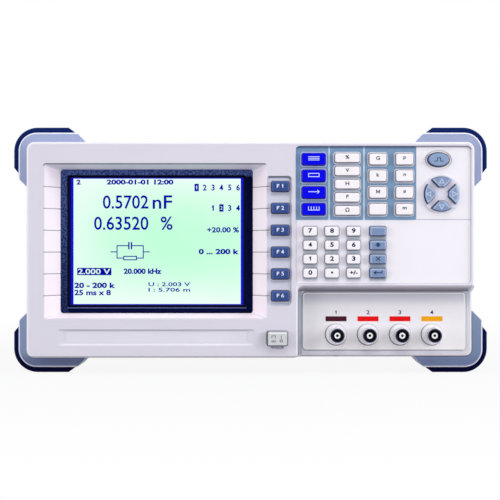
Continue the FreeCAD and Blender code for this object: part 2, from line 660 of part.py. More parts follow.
# Key mat and key board, which reach behind the keypad and the keys beside the screen
BOARD_BOTTOM = POCKET_TOP + PANEL_WALL + BOSS_CLEARANCE
BOARD_RIGHT = BODY_RIGHT - SKIRT_WALL - BOARD_MARGIN
BOARD_TOP = BODY_TOP - SKIRT_WALL - BOARD_MARGIN
STRIP_LEFT = FUNCTION_X - FUNCTION_WIDTH / 2 - EAR_REACH
STRIP_RIGHT = min(FUNCTION_X + FUNCTION_WIDTH / 2 + EAR_REACH + BOSS_CLEARANCE,
                  POCKET_LEFT - PANEL_WALL - BOSS_CLEARANCE)
STRIP_END = FUNCTION_HALF + 3 * BOSS_RADIUS
KEY_BOSSES = [(FUNCTION_X, DISPLAY_Z - FUNCTION_HALF - BOSS_RADIUS),
              (FUNCTION_X, DISPLAY_Z + FUNCTION_HALF + BOSS_RADIUS),
              (NUMBER_X, ZONE_LINE), (MULTIPLIER_X + (MULTIPLIER_WIDTH + MULTIPLIER_GAP) / 2, ZONE_LINE),
              (BOARD_RIGHT - 2 * BOSS_RADIUS, ZONE_LINE),
              (BOARD_RIGHT - 2 * BOSS_RADIUS, BOARD_BOTTOM + 2 * BOSS_RADIUS)]


def key_sheet(inset, y0, y1):
    """A flat sheet behind all the keys."""
    strip = block(STRIP_LEFT + inset, STRIP_RIGHT - inset, y0, y1, DISPLAY_Z - STRIP_END + inset,
                  DISPLAY_Z + STRIP_END - inset)
    field = block(STRIP_LEFT + inset, BOARD_RIGHT - inset, y0, y1, BOARD_BOTTOM + inset,
                  DISPLAY_Z + STRIP_END - inset)
    upper = block(KEYPAD_LEFT + inset, BOARD_RIGHT - inset, y0, y1, BOARD_BOTTOM + inset, BOARD_TOP - inset)
    return joined([strip, field, upper])


def key_mat():
    pieces = [key_sheet(EAR_GAP, depth(MAT_DEPTH), depth(BOARD_DEPTH))]
    centres = [((area[0] + area[1]) / 2, (area[2] + area[3]) / 2) for area in KEY_AREAS.values()]
    centres.append((TRIGGER_X, TRIGGER_Z))
    arrow_middle = (ARROW_OUTER + ARROW_INNER) / 2
    for side, rise in ARROW_SIDES.values():
        centres.append((CURSOR_X + side * arrow_middle, CURSOR_Z + rise * arrow_middle))
    for x, z in centres:
        pieces.append(rod(x, depth(DOME_DEPTH), z, BACKWARD, DOME_RADIUS, DOME_HEIGHT + MAT_THICK / 2))
    holes = [rod(x, depth(DOME_DEPTH), z, BACKWARD, BOSS_RADIUS + BOSS_CLEARANCE,
                 DOME_HEIGHT + MAT_THICK + PAST) for x, z in KEY_BOSSES]
    return joined(pieces).cut(holes)


# Front panel
def step_corner_edges(shape):
    """The edge where the pocket's left wall meets the underside of the raised face."""
    found = []
    for edge in shape.Edges:
        box = edge.BoundBox
        underside = abs(box.ZMin - BODY_BOTTOM) < 1e-4 and box.ZLength < 1e-4
        beside = box.XMin > POCKET_LEFT - 1e-4 and box.XMax < PLATE_LEFT + 1e-4
        if underside and beside and box.YLength > PAST and box.YMax < depth(POCKET_DEPTH) + 1e-4:
            found.append(edge)
    return found


def front_shell():
    """Outer skin of the front panel: the raised face, and the pocket floor set back from it."""
    past = POCKET_CORNER + PAST
    mouth = (POCKET_LEFT, BODY_RIGHT + past, BODY_BOTTOM - past, POCKET_TOP)
    floor = (PLATE_LEFT, mouth[1], mouth[2], PLATE_TOP)
    step = taper(mouth, POCKET_CORNER, depth(0), floor, POCKET_CORNER, depth(POCKET_DEPTH))
    behind = prism(floor, POCKET_CORNER, depth(POCKET_DEPTH), depth(SKIRT_DEPTH))
    raised = prism(BODY_AREA, BODY_CORNER, depth(0), depth(SKIRT_DEPTH)).cut([step, behind])
    raised = raised.makeFillet(STEP_CORNER, step_corner_edges(raised))
    raised = rounded_front(raised, FACE_ROUND, depth(0))
    set_back = prism(BODY_AREA, BODY_CORNER, depth(POCKET_DEPTH), depth(SKIRT_DEPTH))
    set_back = rounded_front(set_back, FACE_ROUND, depth(POCKET_DEPTH))
    return joined([raised, set_back])


def front_cavity():
    """The hollow behind the front wall, which keeps clear of the pocket."""
    corner = max(BODY_CORNER - SKIRT_WALL, RIM_CHAMFER)
    hollow = prism(grow(BODY_AREA, -SKIRT_WALL), corner, depth(CAVITY_DEPTH), depth(SKIRT_DEPTH) + PAST)
    pocket = block(POCKET_LEFT - PANEL_WALL, BODY_RIGHT, depth(0), depth(PLATE_DEPTH + PANEL_WALL),
                   BODY_BOTTOM, POCKET_TOP + PANEL_WALL)
    return hollow.cut(pocket)


def screen_lines():
    """Fine lines across the sloping sides of the surround, one to each key beside the screen."""
    deeper = taper(display_area(0, LINE_DEPTH), RECESS_CORNER, depth(0),
                   display_area(RECESS_DEPTH, LINE_DEPTH), RECESS_CORNER, depth(RECESS_DEPTH))
    tools = []
    for row in range(FUNCTION_COUNT):
        area = KEY_AREAS[f"function_key_{row + 1}"]
        z = (area[2] + area[3]) / 2
        low = z - LINE_WIDTH / 2
        high = z + LINE_WIDTH / 2
        slab = block(BODY_LEFT, BODY_RIGHT, depth(0), depth(RECESS_DEPTH), low, high)
        tools.append(deeper.common(slab))
        tools.append(block(DISPLAY_X, area[0], depth(0), depth(KEY_RECESS + LINE_DEPTH), low, high))
    return tools


def notch():
    """Sloping scoop below the power button."""
    top = BUTTON_AREA[2]
    left = BUTTON_X - NOTCH_WIDTH / 2
    points = [Vector(left, depth(0), top), Vector(left, depth(NOTCH_DEPTH), top),
              Vector(left, depth(0), top - NOTCH_HEIGHT)]
    return Part.Face(Part.makePolygon(points + points[:1])).extrude(Vector(NOTCH_WIDTH, 0, 0))


def front_panel():
    wall = taper(display_area(KEY_RECESS, PANEL_WALL), RECESS_CORNER, depth(KEY_RECESS),
                 display_area(RECESS_DEPTH, PANEL_WALL), RECESS_CORNER, depth(RECESS_DEPTH))
    pieces = [front_shell().cut(front_cavity()), wall]
    for x, z in MODULE_BOSSES:
        pieces.append(rod(x, depth(KEY_RECESS + PANEL_WALL / 2), z, BACKWARD, BOSS_RADIUS,
                          BEZEL_BACK - KEY_RECESS - PANEL_WALL / 2))
    for x, z in KEY_BOSSES:
        pieces.append(rod(x, depth(KEY_RECESS + PANEL_WALL / 2), z, BACKWARD, BOSS_RADIUS,
                          BOARD_DEPTH - KEY_RECESS - PANEL_WALL / 2))
    guide = grow(BUTTON_AREA, KEY_CLEARANCE + GUIDE_WALL)
    pieces.append(prism(guide, BUTTON_CORNER, depth(KEY_RECESS), depth(GUIDE_END)))
    panel = joined(pieces)

    display = taper(display_area(0), RECESS_CORNER, depth(0),
                    display_area(RECESS_DEPTH), RECESS_CORNER, depth(RECESS_DEPTH))
    name_left = DISPLAY_LEFT + NAMEPLATE_SETBACK
    name_right = CHANNEL_LEFT - NAMEPLATE_SHORT
    name_bottom = BODY_BOTTOM + NAMEPLATE_RISE
    name_area = (name_left, name_right, name_bottom, name_bottom + NAMEPLATE_HEIGHT)
    plate_area = (PLATE_LEFT, PLATE_RIGHT, PLATE_BOTTOM, PLATE_TOP)
    dish = Part.makeCone(DISH_RADIUS, DISH_RADIUS - DISH_SLOPE, DISH_DEPTH,
                         Vector(CURSOR_X, depth(KEY_RECESS), CURSOR_Z), BACKWARD)
    tools = [
        display,
        recess((CHANNEL_LEFT - RIM_CHAMFER, CHANNEL_RIGHT, DISPLAY_Z - FUNCTION_HALF,
                DISPLAY_Z + FUNCTION_HALF), RECESS_CORNER, KEY_RECESS),
        recess((KEYPAD_LEFT, KEYPAD_RIGHT, KEYPAD_BOTTOM, KEYPAD_TOP), KEYPAD_CORNER, KEY_RECESS),
        dish,
        block(ZONE_RIGHT, KEYPAD_RIGHT, depth(0), depth(KEY_RECESS + LINE_DEPTH), ZONE_LINE,
              ZONE_LINE + LINE_WIDTH),
        taper(name_area, NAMEPLATE_SIDE, depth(0), grow(name_area, -NAMEPLATE_END, -NAMEPLATE_SIDE),
              NAMEPLATE_SIDE, depth(NAMEPLATE_DEPTH)),
        prism(plate_area, PLATE_CORNER, depth(0), depth(PLATE_DEPTH)),
        notch(),
    ]
    tools.extend(screen_lines())
    tools.extend(key_holes())
    for index in range(JACK_COUNT):
        tools.append(rod(JACK_X + index * JACK_PITCH, depth(0), JACK_Z, BACKWARD,
                         JACK_THREAD_RADIUS + JACK_FIT, SKIRT_DEPTH))
    for x, z in MODULE_BOSSES:
        tools.append(rod(x, depth(BEZEL_BACK), z, FORWARD, SCREW_TAP, SCREW_BITE + RIM_CHAMFER))
    for x, z in KEY_BOSSES:
        tools.append(rod(x, depth(BOARD_DEPTH), z, FORWARD, SCREW_TAP, SCREW_BITE + RIM_CHAMFER))
    for x in TONGUE_SCREWS:
        tools.append(rod(x, TONGUE_SCREW_Y, BODY_BOTTOM - PAST, UPWARD, SCREW_HOLE, SKIRT_WALL + 2 * PAST))
    return panel.cut(tools)


# Coaxial jacks
def jack(through):
    """Shell and insulator of one jack, standing forward of the plane y = 0 on its axis at x = z = 0.

    Behind the plane it goes through a sheet, and a nut holds it.
    """
    lug_y = JACK_LUG_SETBACK - JACK_LENGTH
    lug_reach = JACK_BASE_RADIUS + JACK_LUG_REACH
    rounds = [rod(0, 0, 0, FORWARD, JACK_FLANGE_RADIUS, JACK_FLANGE_THICK),
              rod(0, 0, 0, FORWARD, JACK_BASE_RADIUS, JACK_LUG_RADIUS - lug_y),
              rod(0, 0, 0, FORWARD, JACK_RADIUS, JACK_LENGTH),
              rod(0, 0, 0, BACKWARD, JACK_THREAD_RADIUS, through + JACK_NUT_THICK),
              rod(0, through, 0, BACKWARD, JACK_NUT_RADIUS, JACK_NUT_THICK),
              rod(0, through, 0, BACKWARD, JACK_CORE_RADIUS, JACK_TAIL)]
    lugs = rod(0, lug_y, -lug_reach, UPWARD, JACK_LUG_RADIUS, 2 * lug_reach)
    bore = rod(0, -JACK_LENGTH, 0, BACKWARD, JACK_BORE, JACK_BORE_DEPTH)
    core = rod(0, JACK_CORE_SHORT - JACK_LENGTH, 0, BACKWARD, JACK_CORE_RADIUS,
               JACK_BORE_DEPTH - JACK_CORE_SHORT)
    contact = rod(0, -JACK_LENGTH, 0, BACKWARD, JACK_CONTACT_RADIUS, JACK_CONTACT_DEPTH + JACK_CORE_SHORT)
    return [joined(rounds + [lugs]).cut(bore), core.cut(contact)]


def bnc_jacks():
    pieces = []
    for index in range(JACK_COUNT):
        for piece in jack(PANEL_WALL):
            piece.translate(Vector(JACK_X + index * JACK_PITCH, depth(PLATE_DEPTH), JACK_Z))
            pieces.append(piece)
    return pieces


# Corner guards and bumpers
CORNERS = [(side, rise) for side in (-1, 1) for rise in (-1, 1)]
FRONT_GUARD = depth(GUARD_SETBACK)
REAR_GUARD = REAR_END - GUARD_LENGTH
GUARD_SCREW_STRIP = BUMPER_SETBACK + BUMPER_LENGTH
GUARD_SCREW_INSET = (GUARD_SCREW_STRIP + GUARD_LENGTH) / 2
GUARD_SCREW_YS = (FRONT_GUARD + GUARD_SCREW_INSET, REAR_END - GUARD_SCREW_INSET)
GUARD_SCREW_RISE = (GUARD_ARM_Z - GUARD_END_RUN + BODY_CORNER) / 2


def wrap(side, rise, inside, outside, arm_x, arm_z, run):
    """Outline of a layer that wraps one corner of the body, with sloping ends."""
    centre_x = side * (BODY_WIDTH / 2 - BODY_CORNER)
    centre_z = BODY_MIDDLE + rise * (BODY_HEIGHT / 2 - BODY_CORNER)
    inner = BODY_CORNER + inside
    outer = BODY_CORNER + outside
    slant = math.sqrt(0.5)

    def point(across, up):
        return Vector(centre_x + side * across, 0, centre_z + rise * up)

    corners = [point(BODY_CORNER - arm_x, inner), point(BODY_CORNER - arm_x + run, outer), point(0, outer),
               point(outer, 0), point(outer, BODY_CORNER - arm_z + run), point(inner, BODY_CORNER - arm_z),
               point(inner, 0), point(0, inner)]
    edges = [Part.makeLine(corners[0], corners[1]), Part.makeLine(corners[1], corners[2]),
             Part.Arc(corners[2], point(outer * slant, outer * slant), corners[3]).toShape(),
             Part.makeLine(corners[3], corners[4]), Part.makeLine(corners[4], corners[5]),
             Part.makeLine(corners[5], corners[6]),
             Part.Arc(corners[6], point(inner * slant, inner * slant), corners[7]).toShape(),
             Part.makeLine(corners[7], corners[0])]
    return Part.Wire(edges)


def outer_end_edges(shape, offset):
    """Edges round both ends of a wrapped layer that lie on its outer surface."""
    half_width = BODY_WIDTH / 2 + offset
    half_height = BODY_HEIGHT / 2 + offset
    corner = BODY_CORNER + offset
    found = []
    for edge in shape.Edges:
        if edge.BoundBox.YLength > 1e-4:
            continue
        middle = edge.valueAt((edge.FirstParameter + edge.LastParameter) / 2)
        across = max(abs(middle.x) - half_width + corner, 0)
        up = max(abs(middle.z - BODY_MIDDLE) - half_height + corner, 0)
        if abs(math.hypot(across, up) - corner) < 1e-3:
            found.append(edge)
    return found


def wrapped_layer(side, rise, inside, outside, arm_x, arm_z, run, y0, length, edge):
    outline = wrap(side, rise, inside, outside, arm_x, arm_z, run)
    outline.translate(Vector(0, y0, 0))
    layer = Part.Face(outline).extrude(Vector(0, length, 0))
    return layer.makeFillet(edge, outer_end_edges(layer, outside))


def guard_screw_z(rise):
    return BODY_MIDDLE + rise * (BODY_HEIGHT / 2 - GUARD_SCREW_RISE)


def corner_guards():
    guards = []
    for y0, screw_y in zip((FRONT_GUARD, REAR_GUARD), GUARD_SCREW_YS):
        for side, rise in CORNERS:
            guard = wrapped_layer(side, rise, GUARD_IN, GUARD_OUT, GUARD_ARM_X, GUARD_ARM_Z,
                                  GUARD_END_RUN, y0, GUARD_LENGTH, GUARD_EDGE)
            outer_x = side * (BODY_WIDTH / 2 + GUARD_OUT)
            z = guard_screw_z(rise)
            inward = Vector(-side, 0, 0)
            hole = rod(outer_x, screw_y, z, inward, SCREW_HOLE, GUARD_OUT + PAST)
            sink = rod(outer_x + side * PAST, screw_y, z, inward, SCREW_HEAD_RADIUS + BOSS_CLEARANCE,
                       SCREW_SINK + PAST)
            guards.append(guard.cut([hole, sink]))
    return guards


def bumpers():
    layers = []
    for y0 in (FRONT_GUARD + BUMPER_SETBACK, REAR_END - BUMPER_SETBACK - BUMPER_LENGTH):
        for side, rise in CORNERS:
            layers.append(wrapped_layer(side, rise, BUMPER_IN, BUMPER_OUT, BUMPER_ARM_X, BUMPER_ARM_Z,
                                        BUMPER_END_RUN, y0, BUMPER_LENGTH, BUMPER_EDGE))
    return layers


# Sheet metal case
CASE_FRONT = depth(SKIRT_DEPTH)
PAN_FRONT = REAR_PLATE_FRONT - REAR_FLANGE
FLANGE_END = PAN_FRONT - REAR_SHEET
SIDE_SCREW_Z = LAP + CHASSIS_FLANGE / 2
SIDE_SPAN = (FRONT_GUARD + GUARD_LENGTH, REAR_GUARD)
SIDE_SCREW_YS = [SIDE_SPAN[0] + (index + 0.5) * (SIDE_SPAN[1] - SIDE_SPAN[0]) / SIDE_SCREW_COUNT
                 for index in range(SIDE_SCREW_COUNT)]
PAN_SCREW_Y = (PAN_FRONT + REAR_PLATE_FRONT) / 2
PAN_SCREW_ZS = (BODY_MIDDLE - REAR_SCREW_SPREAD, BODY_MIDDLE + REAR_SCREW_SPREAD)
TONGUE_SCREW_Y = CASE_FRONT - TONGUE_LENGTH / 2
TONGUE_SCREWS = (-TONGUE_WIDTH / 3, 0.0, TONGUE_WIDTH / 3)


def across(y, z, radius):
    """Tool for a pair of screw holes, one through each side of the case."""
    return rod(BODY_LEFT - PAST, y, z, Vector(1, 0, 0), radius, BODY_WIDTH + 2 * PAST)


def shell_ring(sheet, y0, y1):
    outside = prism(BODY_AREA, BODY_CORNER, y0, y1)
    corner = max(BODY_CORNER - sheet, RIM_CHAMFER)
    return outside.cut(prism(grow(BODY_AREA, -sheet), corner, y0 - PAST, y1 + PAST))


def side_holes(radius):
    tools = [across(y, SIDE_SCREW_Z, radius) for y in SIDE_SCREW_YS]
    tools.extend(across(y, guard_screw_z(-1), radius) for y in GUARD_SCREW_YS)
    return tools


def case_cover():
    ring = shell_ring(COVER_SHEET, CASE_FRONT, CASE_REAR)
    tools = [block(BODY_LEFT - PAST, BODY_RIGHT + PAST, CASE_FRONT - PAST, CASE_REAR + PAST,
                   BODY_BOTTOM - PAST, LAP + SHEET_FIT)]
    tools.extend(side_holes(SCREW_HOLE))
    tools.extend(across(y, guard_screw_z(1), SCREW_HOLE) for y in GUARD_SCREW_YS)
    tools.extend(across(PAN_SCREW_Y, z, SCREW_HOLE) for z in PAN_SCREW_ZS)
    span = (VENT_COUNT - 1) * VENT_PITCH
    middle = sum(SIDE_SPAN) / 2
    for index in range(VENT_COUNT):
        y = middle - span / 2 + index * VENT_PITCH
        low = BODY_MIDDLE - VENT_HEIGHT / 2
        tools.append(block(BODY_LEFT - PAST, BODY_RIGHT + PAST, y - VENT_WIDTH / 2, y + VENT_WIDTH / 2,
                           low, low + VENT_HEIGHT))
        for z in (low, low + VENT_HEIGHT):
            tools.append(across(y, z, VENT_WIDTH / 2))
    return ring.cut(tools)


def standoffs(points):
    overlap = CHASSIS_SHEET / 2
    return [rod(x, y, FLOOR - overlap, UPWARD, STANDOFF_RADIUS, STANDOFF_HEIGHT + overlap) for x, y in points]


def corner_points(x0, x1, y0, y1):
    """Screw places just inside the corners of a board."""
    return [(x, y) for x in (x0 + STANDOFF_INSET, x1 - STANDOFF_INSET)
            for y in (y0 + STANDOFF_INSET, y1 - STANDOFF_INSET)]


MAIN_X1 = SIDE_INNER - CHASSIS_SHEET - STANDOFF_INSET
MAIN_X0 = MAIN_X1 - MAIN_BOARD_WIDTH
MAIN_Y0 = CASE_FRONT + MAIN_BOARD_GAP
MAIN_Y1 = MAIN_Y0 + MAIN_BOARD_DEPTH
MAIN_POINTS = corner_points(MAIN_X0, MAIN_X1, MAIN_Y0, MAIN_Y1)
SUPPLY_X0 = -SIDE_INNER + CHASSIS_SHEET + STANDOFF_INSET
SUPPLY_X1 = SUPPLY_X0 + SUPPLY_WIDTH
SUPPLY_Y1 = REAR_PLATE_FRONT - INLET_DEPTH - INLET_FLOOR - SUPPLY_GAP
SUPPLY_Y0 = SUPPLY_Y1 - SUPPLY_DEPTH
SUPPLY_POINTS = corner_points(SUPPLY_X0, SUPPLY_X1, SUPPLY_Y0, SUPPLY_Y1)
BOARD_TOP_Z = FLOOR + STANDOFF_HEIGHT + BOARD_THICK


def chassis():
    ring = shell_ring(CHASSIS_SHEET, CASE_FRONT, CASE_REAR)
    tray = ring.cut(block(BODY_LEFT - PAST, BODY_RIGHT + PAST, CASE_FRONT - PAST, CASE_REAR + PAST, LAP,
                          BODY_TOP + PAST))
    pieces = [tray]
    for side in (-1, 1):
        inner, outer = sorted((side * (SIDE_INNER - CHASSIS_SHEET), side * SIDE_INNER))
        step = sorted((side * (SIDE_INNER - CHASSIS_SHEET), side * BODY_RIGHT))
        pieces.append(block(step[0], step[1], CASE_FRONT, FLANGE_END, LAP - CHASSIS_SHEET, LAP))
        pieces.append(block(inner, outer, CASE_FRONT, FLANGE_END, LAP - CHASSIS_SHEET, LAP + CHASSIS_FLANGE))
    tongue_bottom = BODY_BOTTOM + SKIRT_WALL + SHEET_FIT
    half = TONGUE_WIDTH / 2
    pieces.append(block(-half, half, CASE_FRONT, CASE_FRONT + CHASSIS_SHEET, BODY_BOTTOM,
                        tongue_bottom + CHASSIS_SHEET))
    pieces.append(block(-half, half, CASE_FRONT - TONGUE_LENGTH, CASE_FRONT + CHASSIS_SHEET, tongue_bottom,
                        tongue_bottom + CHASSIS_SHEET))
    pieces.extend(standoffs(MAIN_POINTS + SUPPLY_POINTS))
    tools = side_holes(SCREW_TAP)
    for x, y in MAIN_POINTS + SUPPLY_POINTS:
        tools.append(rod(x, y, FLOOR + STANDOFF_HEIGHT, DOWNWARD, SCREW_TAP, SCREW_BITE + RIM_CHAMFER))
    for x in TONGUE_SCREWS:
        tools.append(rod(x, TONGUE_SCREW_Y, tongue_bottom - PAST, UPWARD, SCREW_TAP,
                         CHASSIS_SHEET + 2 * PAST))
    return joined(pieces).cut(tools)


INLET_Z = BODY_BOTTOM + INLET_RISE
SOCKET_Z = BODY_BOTTOM + SOCKET_RISE
INLET_BODY = grow(area_at(INLET_X, INLET_Z, INLET_WIDTH, INLET_HEIGHT), INLET_WALL)
INLET_SCREWS = (INLET_X - INLET_SCREW_SPACING / 2, INLET_X + INLET_SCREW_SPACING / 2)
PAN_AREA = (-SIDE_INNER + CHASSIS_SHEET, SIDE_INNER - CHASSIS_SHEET, FLOOR,
            BODY_TOP - COVER_SHEET - SHEET_FIT)


def rear_panel():
    outside = prism(PAN_AREA, BODY_CORNER, PAN_FRONT, REAR_PLATE_BACK)
    corner = max(BODY_CORNER - REAR_SHEET, RIM_CHAMFER)
    hollow = prism(grow(PAN_AREA, -REAR_SHEET), corner, PAN_FRONT - PAST, REAR_PLATE_FRONT)
    y0 = REAR_PLATE_FRONT - PAST
    y1 = REAR_PLATE_BACK + PAST
    tools = [hollow, prism(grow(INLET_BODY, SHEET_FIT), INLET_WALL, y0, y1)]
    for area in (area_at(SERIAL_X, SOCKET_Z, SERIAL_SHELL_WIDTH, SERIAL_SHELL_HEIGHT),
                 area_at(BUS_X, SOCKET_Z, BUS_SHELL_WIDTH, BUS_SHELL_HEIGHT)):
        tools.append(prism(grow(area, SHEET_FIT), INLET_WALL, y0, y1))
    tools.append(rod(REAR_JACK_X, y0, SOCKET_Z, BACKWARD, JACK_THREAD_RADIUS + JACK_FIT, y1 - y0))
    tools.extend(across(PAN_SCREW_Y, z, SCREW_TAP) for z in PAN_SCREW_ZS)
    tools.extend(rod(x, y0, INLET_Z, BACKWARD, SCREW_TAP, y1 - y0) for x in INLET_SCREWS)
    span = (VENT_COUNT - 1) * VENT_PITCH
    for index in range(VENT_COUNT):
        slot = area_at(index * VENT_PITCH - span / 2, BODY_MIDDLE + REAR_VENT_RISE, VENT_WIDTH, VENT_HEIGHT)
        tools.append(prism(slot, VENT_WIDTH / 3, y0, y1))
    return outside.cut(tools)


def mains_inlet():
    """Inlet body with a shaped opening, and its three blades."""
    face = REAR_PLATE_BACK + INLET_FLANGE_THICK
    floor = REAR_PLATE_BACK - INLET_DEPTH + INLET_FLANGE_THICK
    body = prism(INLET_BODY, INLET_WALL, floor - INLET_FLOOR, REAR_PLATE_BACK)
    flange_area = area_at(INLET_X, INLET_Z, INLET_FLANGE_WIDTH, INLET_FLANGE_HEIGHT)
    flange = prism(flange_area, INLET_CHAMFER, REAR_PLATE_BACK, face)
    half_width = INLET_WIDTH / 2
    half_height = INLET_HEIGHT / 2
    corners = [(-half_width, -half_height), (half_width, -half_height),
               (half_width, half_height - INLET_CHAMFER), (half_width - INLET_CHAMFER, half_height),
               (INLET_CHAMFER - half_width, half_height), (-half_width, half_height - INLET_CHAMFER)]
    points = [Vector(INLET_X + x, floor, INLET_Z + z) for x, z in corners]
    opening = Part.Face(Part.makePolygon(points + points[:1])).extrude(Vector(0, face - floor + PAST, 0))
    tools = [opening]
    tools.extend(rod(x, REAR_PLATE_BACK - PAST, INLET_Z, BACKWARD, SCREW_HOLE, INLET_FLANGE_THICK + 2 * PAST)
                 for x in INLET_SCREWS)
    pieces = [joined([body, flange]).cut(tools)]
    for side, rise in ((-1, -BLADE_STEP), (1, -BLADE_STEP), (0, BLADE_STEP)):
        x = INLET_X + side * BLADE_SPREAD
        z = INLET_Z + rise
        pieces.append(block(x - BLADE_WIDTH / 2, x + BLADE_WIDTH / 2, floor, floor + BLADE_LENGTH,
                            z - BLADE_HEIGHT / 2, z + BLADE_HEIGHT / 2))
    return pieces


def data_socket(x, flange_width, flange_height, shell_width, shell_height, shell_length, spacing):
    """A hollow shell connector with its flange, its tail through the rear panel and two lock posts."""
    face = REAR_PLATE_BACK + SOCKET_FLANGE_THICK
    shell_area = area_at(x, SOCKET_Z, shell_width, shell_height)
    shell_end = face + shell_length
    pieces = [prism(area_at(x, SOCKET_Z, flange_width, flange_height), INLET_WALL, REAR_PLATE_BACK, face),
              prism(shell_area, INLET_WALL, REAR_PLATE_BACK - SOCKET_TAIL, shell_end)]
    for side in (-1, 1):
        pieces.append(rod(x + side * spacing / 2, REAR_PLATE_BACK, SOCKET_Z, BACKWARD, SOCKET_POST_RADIUS,
                          SOCKET_FLANGE_THICK + SOCKET_POST_LENGTH))
    mouth = prism(grow(shell_area, -SOCKET_SHELL_WALL), INLET_WALL - SOCKET_SHELL_WALL, face,
                  shell_end + PAST)
    return joined(pieces).cut(mouth)


def data_sockets():
    pieces = [data_socket(SERIAL_X, SERIAL_FLANGE_WIDTH, SERIAL_FLANGE_HEIGHT, SERIAL_SHELL_WIDTH,
                          SERIAL_SHELL_HEIGHT, SERIAL_SHELL_LENGTH, SERIAL_POST_SPACING),
              data_socket(BUS_X, BUS_FLANGE_WIDTH, BUS_FLANGE_HEIGHT, BUS_SHELL_WIDTH, BUS_SHELL_HEIGHT,
                          BUS_SHELL_LENGTH, BUS_POST_SPACING)]
    for piece in jack(REAR_SHEET):
        piece.rotate(Vector(0, 0, 0), UPWARD, 180)
        piece.translate(Vector(REAR_JACK_X, REAR_PLATE_BACK, SOCKET_Z))
        pieces.append(piece)
    return pieces


# Boards and power supply
def board(x0, x1, y0, y1, points):
    z0 = FLOOR + STANDOFF_HEIGHT
    plate = block(x0, x1, y0, y1, z0, z0 + BOARD_THICK)
    return plate.cut([rod(x, y, z0 - PAST, UPWARD, SCREW_HOLE, BOARD_THICK + 2 * PAST) for x, y in points])


def circuit_boards():
    key_board = key_sheet(0, depth(BOARD_DEPTH), depth(BOARD_DEPTH + BOARD_THICK))
    through = BOARD_THICK + 2 * PAST
    key_board = key_board.cut([rod(x, depth(BOARD_DEPTH) - PAST, z, BACKWARD, SCREW_HOLE, through)
                               for x, z in KEY_BOSSES])
    main_board = [board(MAIN_X0, MAIN_X1, MAIN_Y0, MAIN_Y1, MAIN_POINTS)]
    bridge_x = (MAIN_X0 + MAIN_X1) / 2
    bridge_y = MAIN_Y0 + 3 * STANDOFF_INSET
    bridge = block(bridge_x - BRIDGE_WIDTH / 2, bridge_x + BRIDGE_WIDTH / 2, bridge_y,
                   bridge_y + BRIDGE_DEPTH, BOARD_TOP_Z, BOARD_TOP_Z + BRIDGE_HEIGHT)
    room_x = (MAIN_X1 - MAIN_X0 - 4 * STANDOFF_INSET) / CHIP_COLUMNS
    first_y = bridge_y + BRIDGE_DEPTH
    room_y = (MAIN_Y1 - 2 * STANDOFF_INSET - first_y) / CHIP_ROWS
    for place in range(CHIP_COLUMNS):
        for row in range(CHIP_ROWS):
            x = MAIN_X0 + 2 * STANDOFF_INSET + (place + 0.5) * room_x
            y = first_y + (row + 0.5) * room_y
            half = CHIP_SIZE / 2
            main_board.append(block(x - half, x + half, y - half, y + half, BOARD_TOP_Z,
                                    BOARD_TOP_Z + CHIP_HEIGHT))
    return [key_board, joined(main_board), bridge]


def power_supply():
    """Mains supply board with its parts, and the switch behind the power button."""
    x = (SUPPLY_X0 + SUPPLY_X1) / 2
    y = (SUPPLY_Y0 + SUPPLY_Y1) / 2
    half = TRANSFORMER_SIZE / 2
    pieces = [board(SUPPLY_X0, SUPPLY_X1, SUPPLY_Y0, SUPPLY_Y1, SUPPLY_POINTS),
              block(x - half, x + half, y - half, y + half, BOARD_TOP_Z, BOARD_TOP_Z + TRANSFORMER_HEIGHT),
              block(SUPPLY_X0 + 2 * STANDOFF_INSET, SUPPLY_X1 - 2 * STANDOFF_INSET,
                    SUPPLY_Y0 + STANDOFF_INSET, SUPPLY_Y0 + STANDOFF_INSET + HEATSINK_THICK,
                    BOARD_TOP_Z, BOARD_TOP_Z + HEATSINK_HEIGHT)]
    for side in (-1, 1):
        pieces.append(rod(x + side * CAPACITOR_SPACING / 2, SUPPLY_Y1 - STANDOFF_INSET - CAPACITOR_RADIUS,
                          BOARD_TOP_Z, UPWARD, CAPACITOR_RADIUS, CAPACITOR_HEIGHT))
    room = BUTTON_STEM / 2 + KEY_CLEARANCE
    switch = block(BUTTON_X - SWITCH_WIDTH / 2, BUTTON_X + SWITCH_WIDTH / 2,
                   depth(GUIDE_END), depth(GUIDE_END + SWITCH_LENGTH),
                   BUTTON_Z - SWITCH_HEIGHT / 2, BUTTON_Z + SWITCH_HEIGHT / 2)
    socket = block(BUTTON_X - room, BUTTON_X + room, depth(GUIDE_END), depth(GUIDE_END + SWITCH_SOCKET),
                   BUTTON_Z - room, BUTTON_Z + room)
    return [joined(pieces), switch.cut(socket)]


# Screws
def screw(x, y, z, direction, length):
    """Pan head screw with a cross recess. The point is under its head."""
    seat = Vector(x, y, z)
    outward = direction * -1
    head = Part.makeCylinder(SCREW_HEAD_RADIUS, SCREW_HEAD_HEIGHT, seat, outward)
    rim = [edge for edge in head.Edges
           if abs((edge.CenterOfMass - seat).dot(outward) - SCREW_HEAD_HEIGHT) < 1e-4]
    top = head.makeFillet(SCREW_HEAD_HEIGHT / 3, rim)
    shank = Part.makeCylinder(SCREW_RADIUS, length, seat, direction)
    body = top.fuse(shank)
    spin = FreeCAD.Rotation(UPWARD, outward)
    for long_x, long_y in ((SCREW_SLOT_LENGTH, SCREW_SLOT_WIDTH), (SCREW_SLOT_WIDTH, SCREW_SLOT_LENGTH)):
        slot = Part.makeBox(long_x, long_y, SCREW_SLOT_DEPTH + PAST, Vector(-long_x / 2, -long_y / 2, 0))
        slot.Placement = FreeCAD.Placement(seat + outward * (SCREW_HEAD_HEIGHT - SCREW_SLOT_DEPTH), spin)
        body = body.cut(slot)
    return body.removeSplitter()


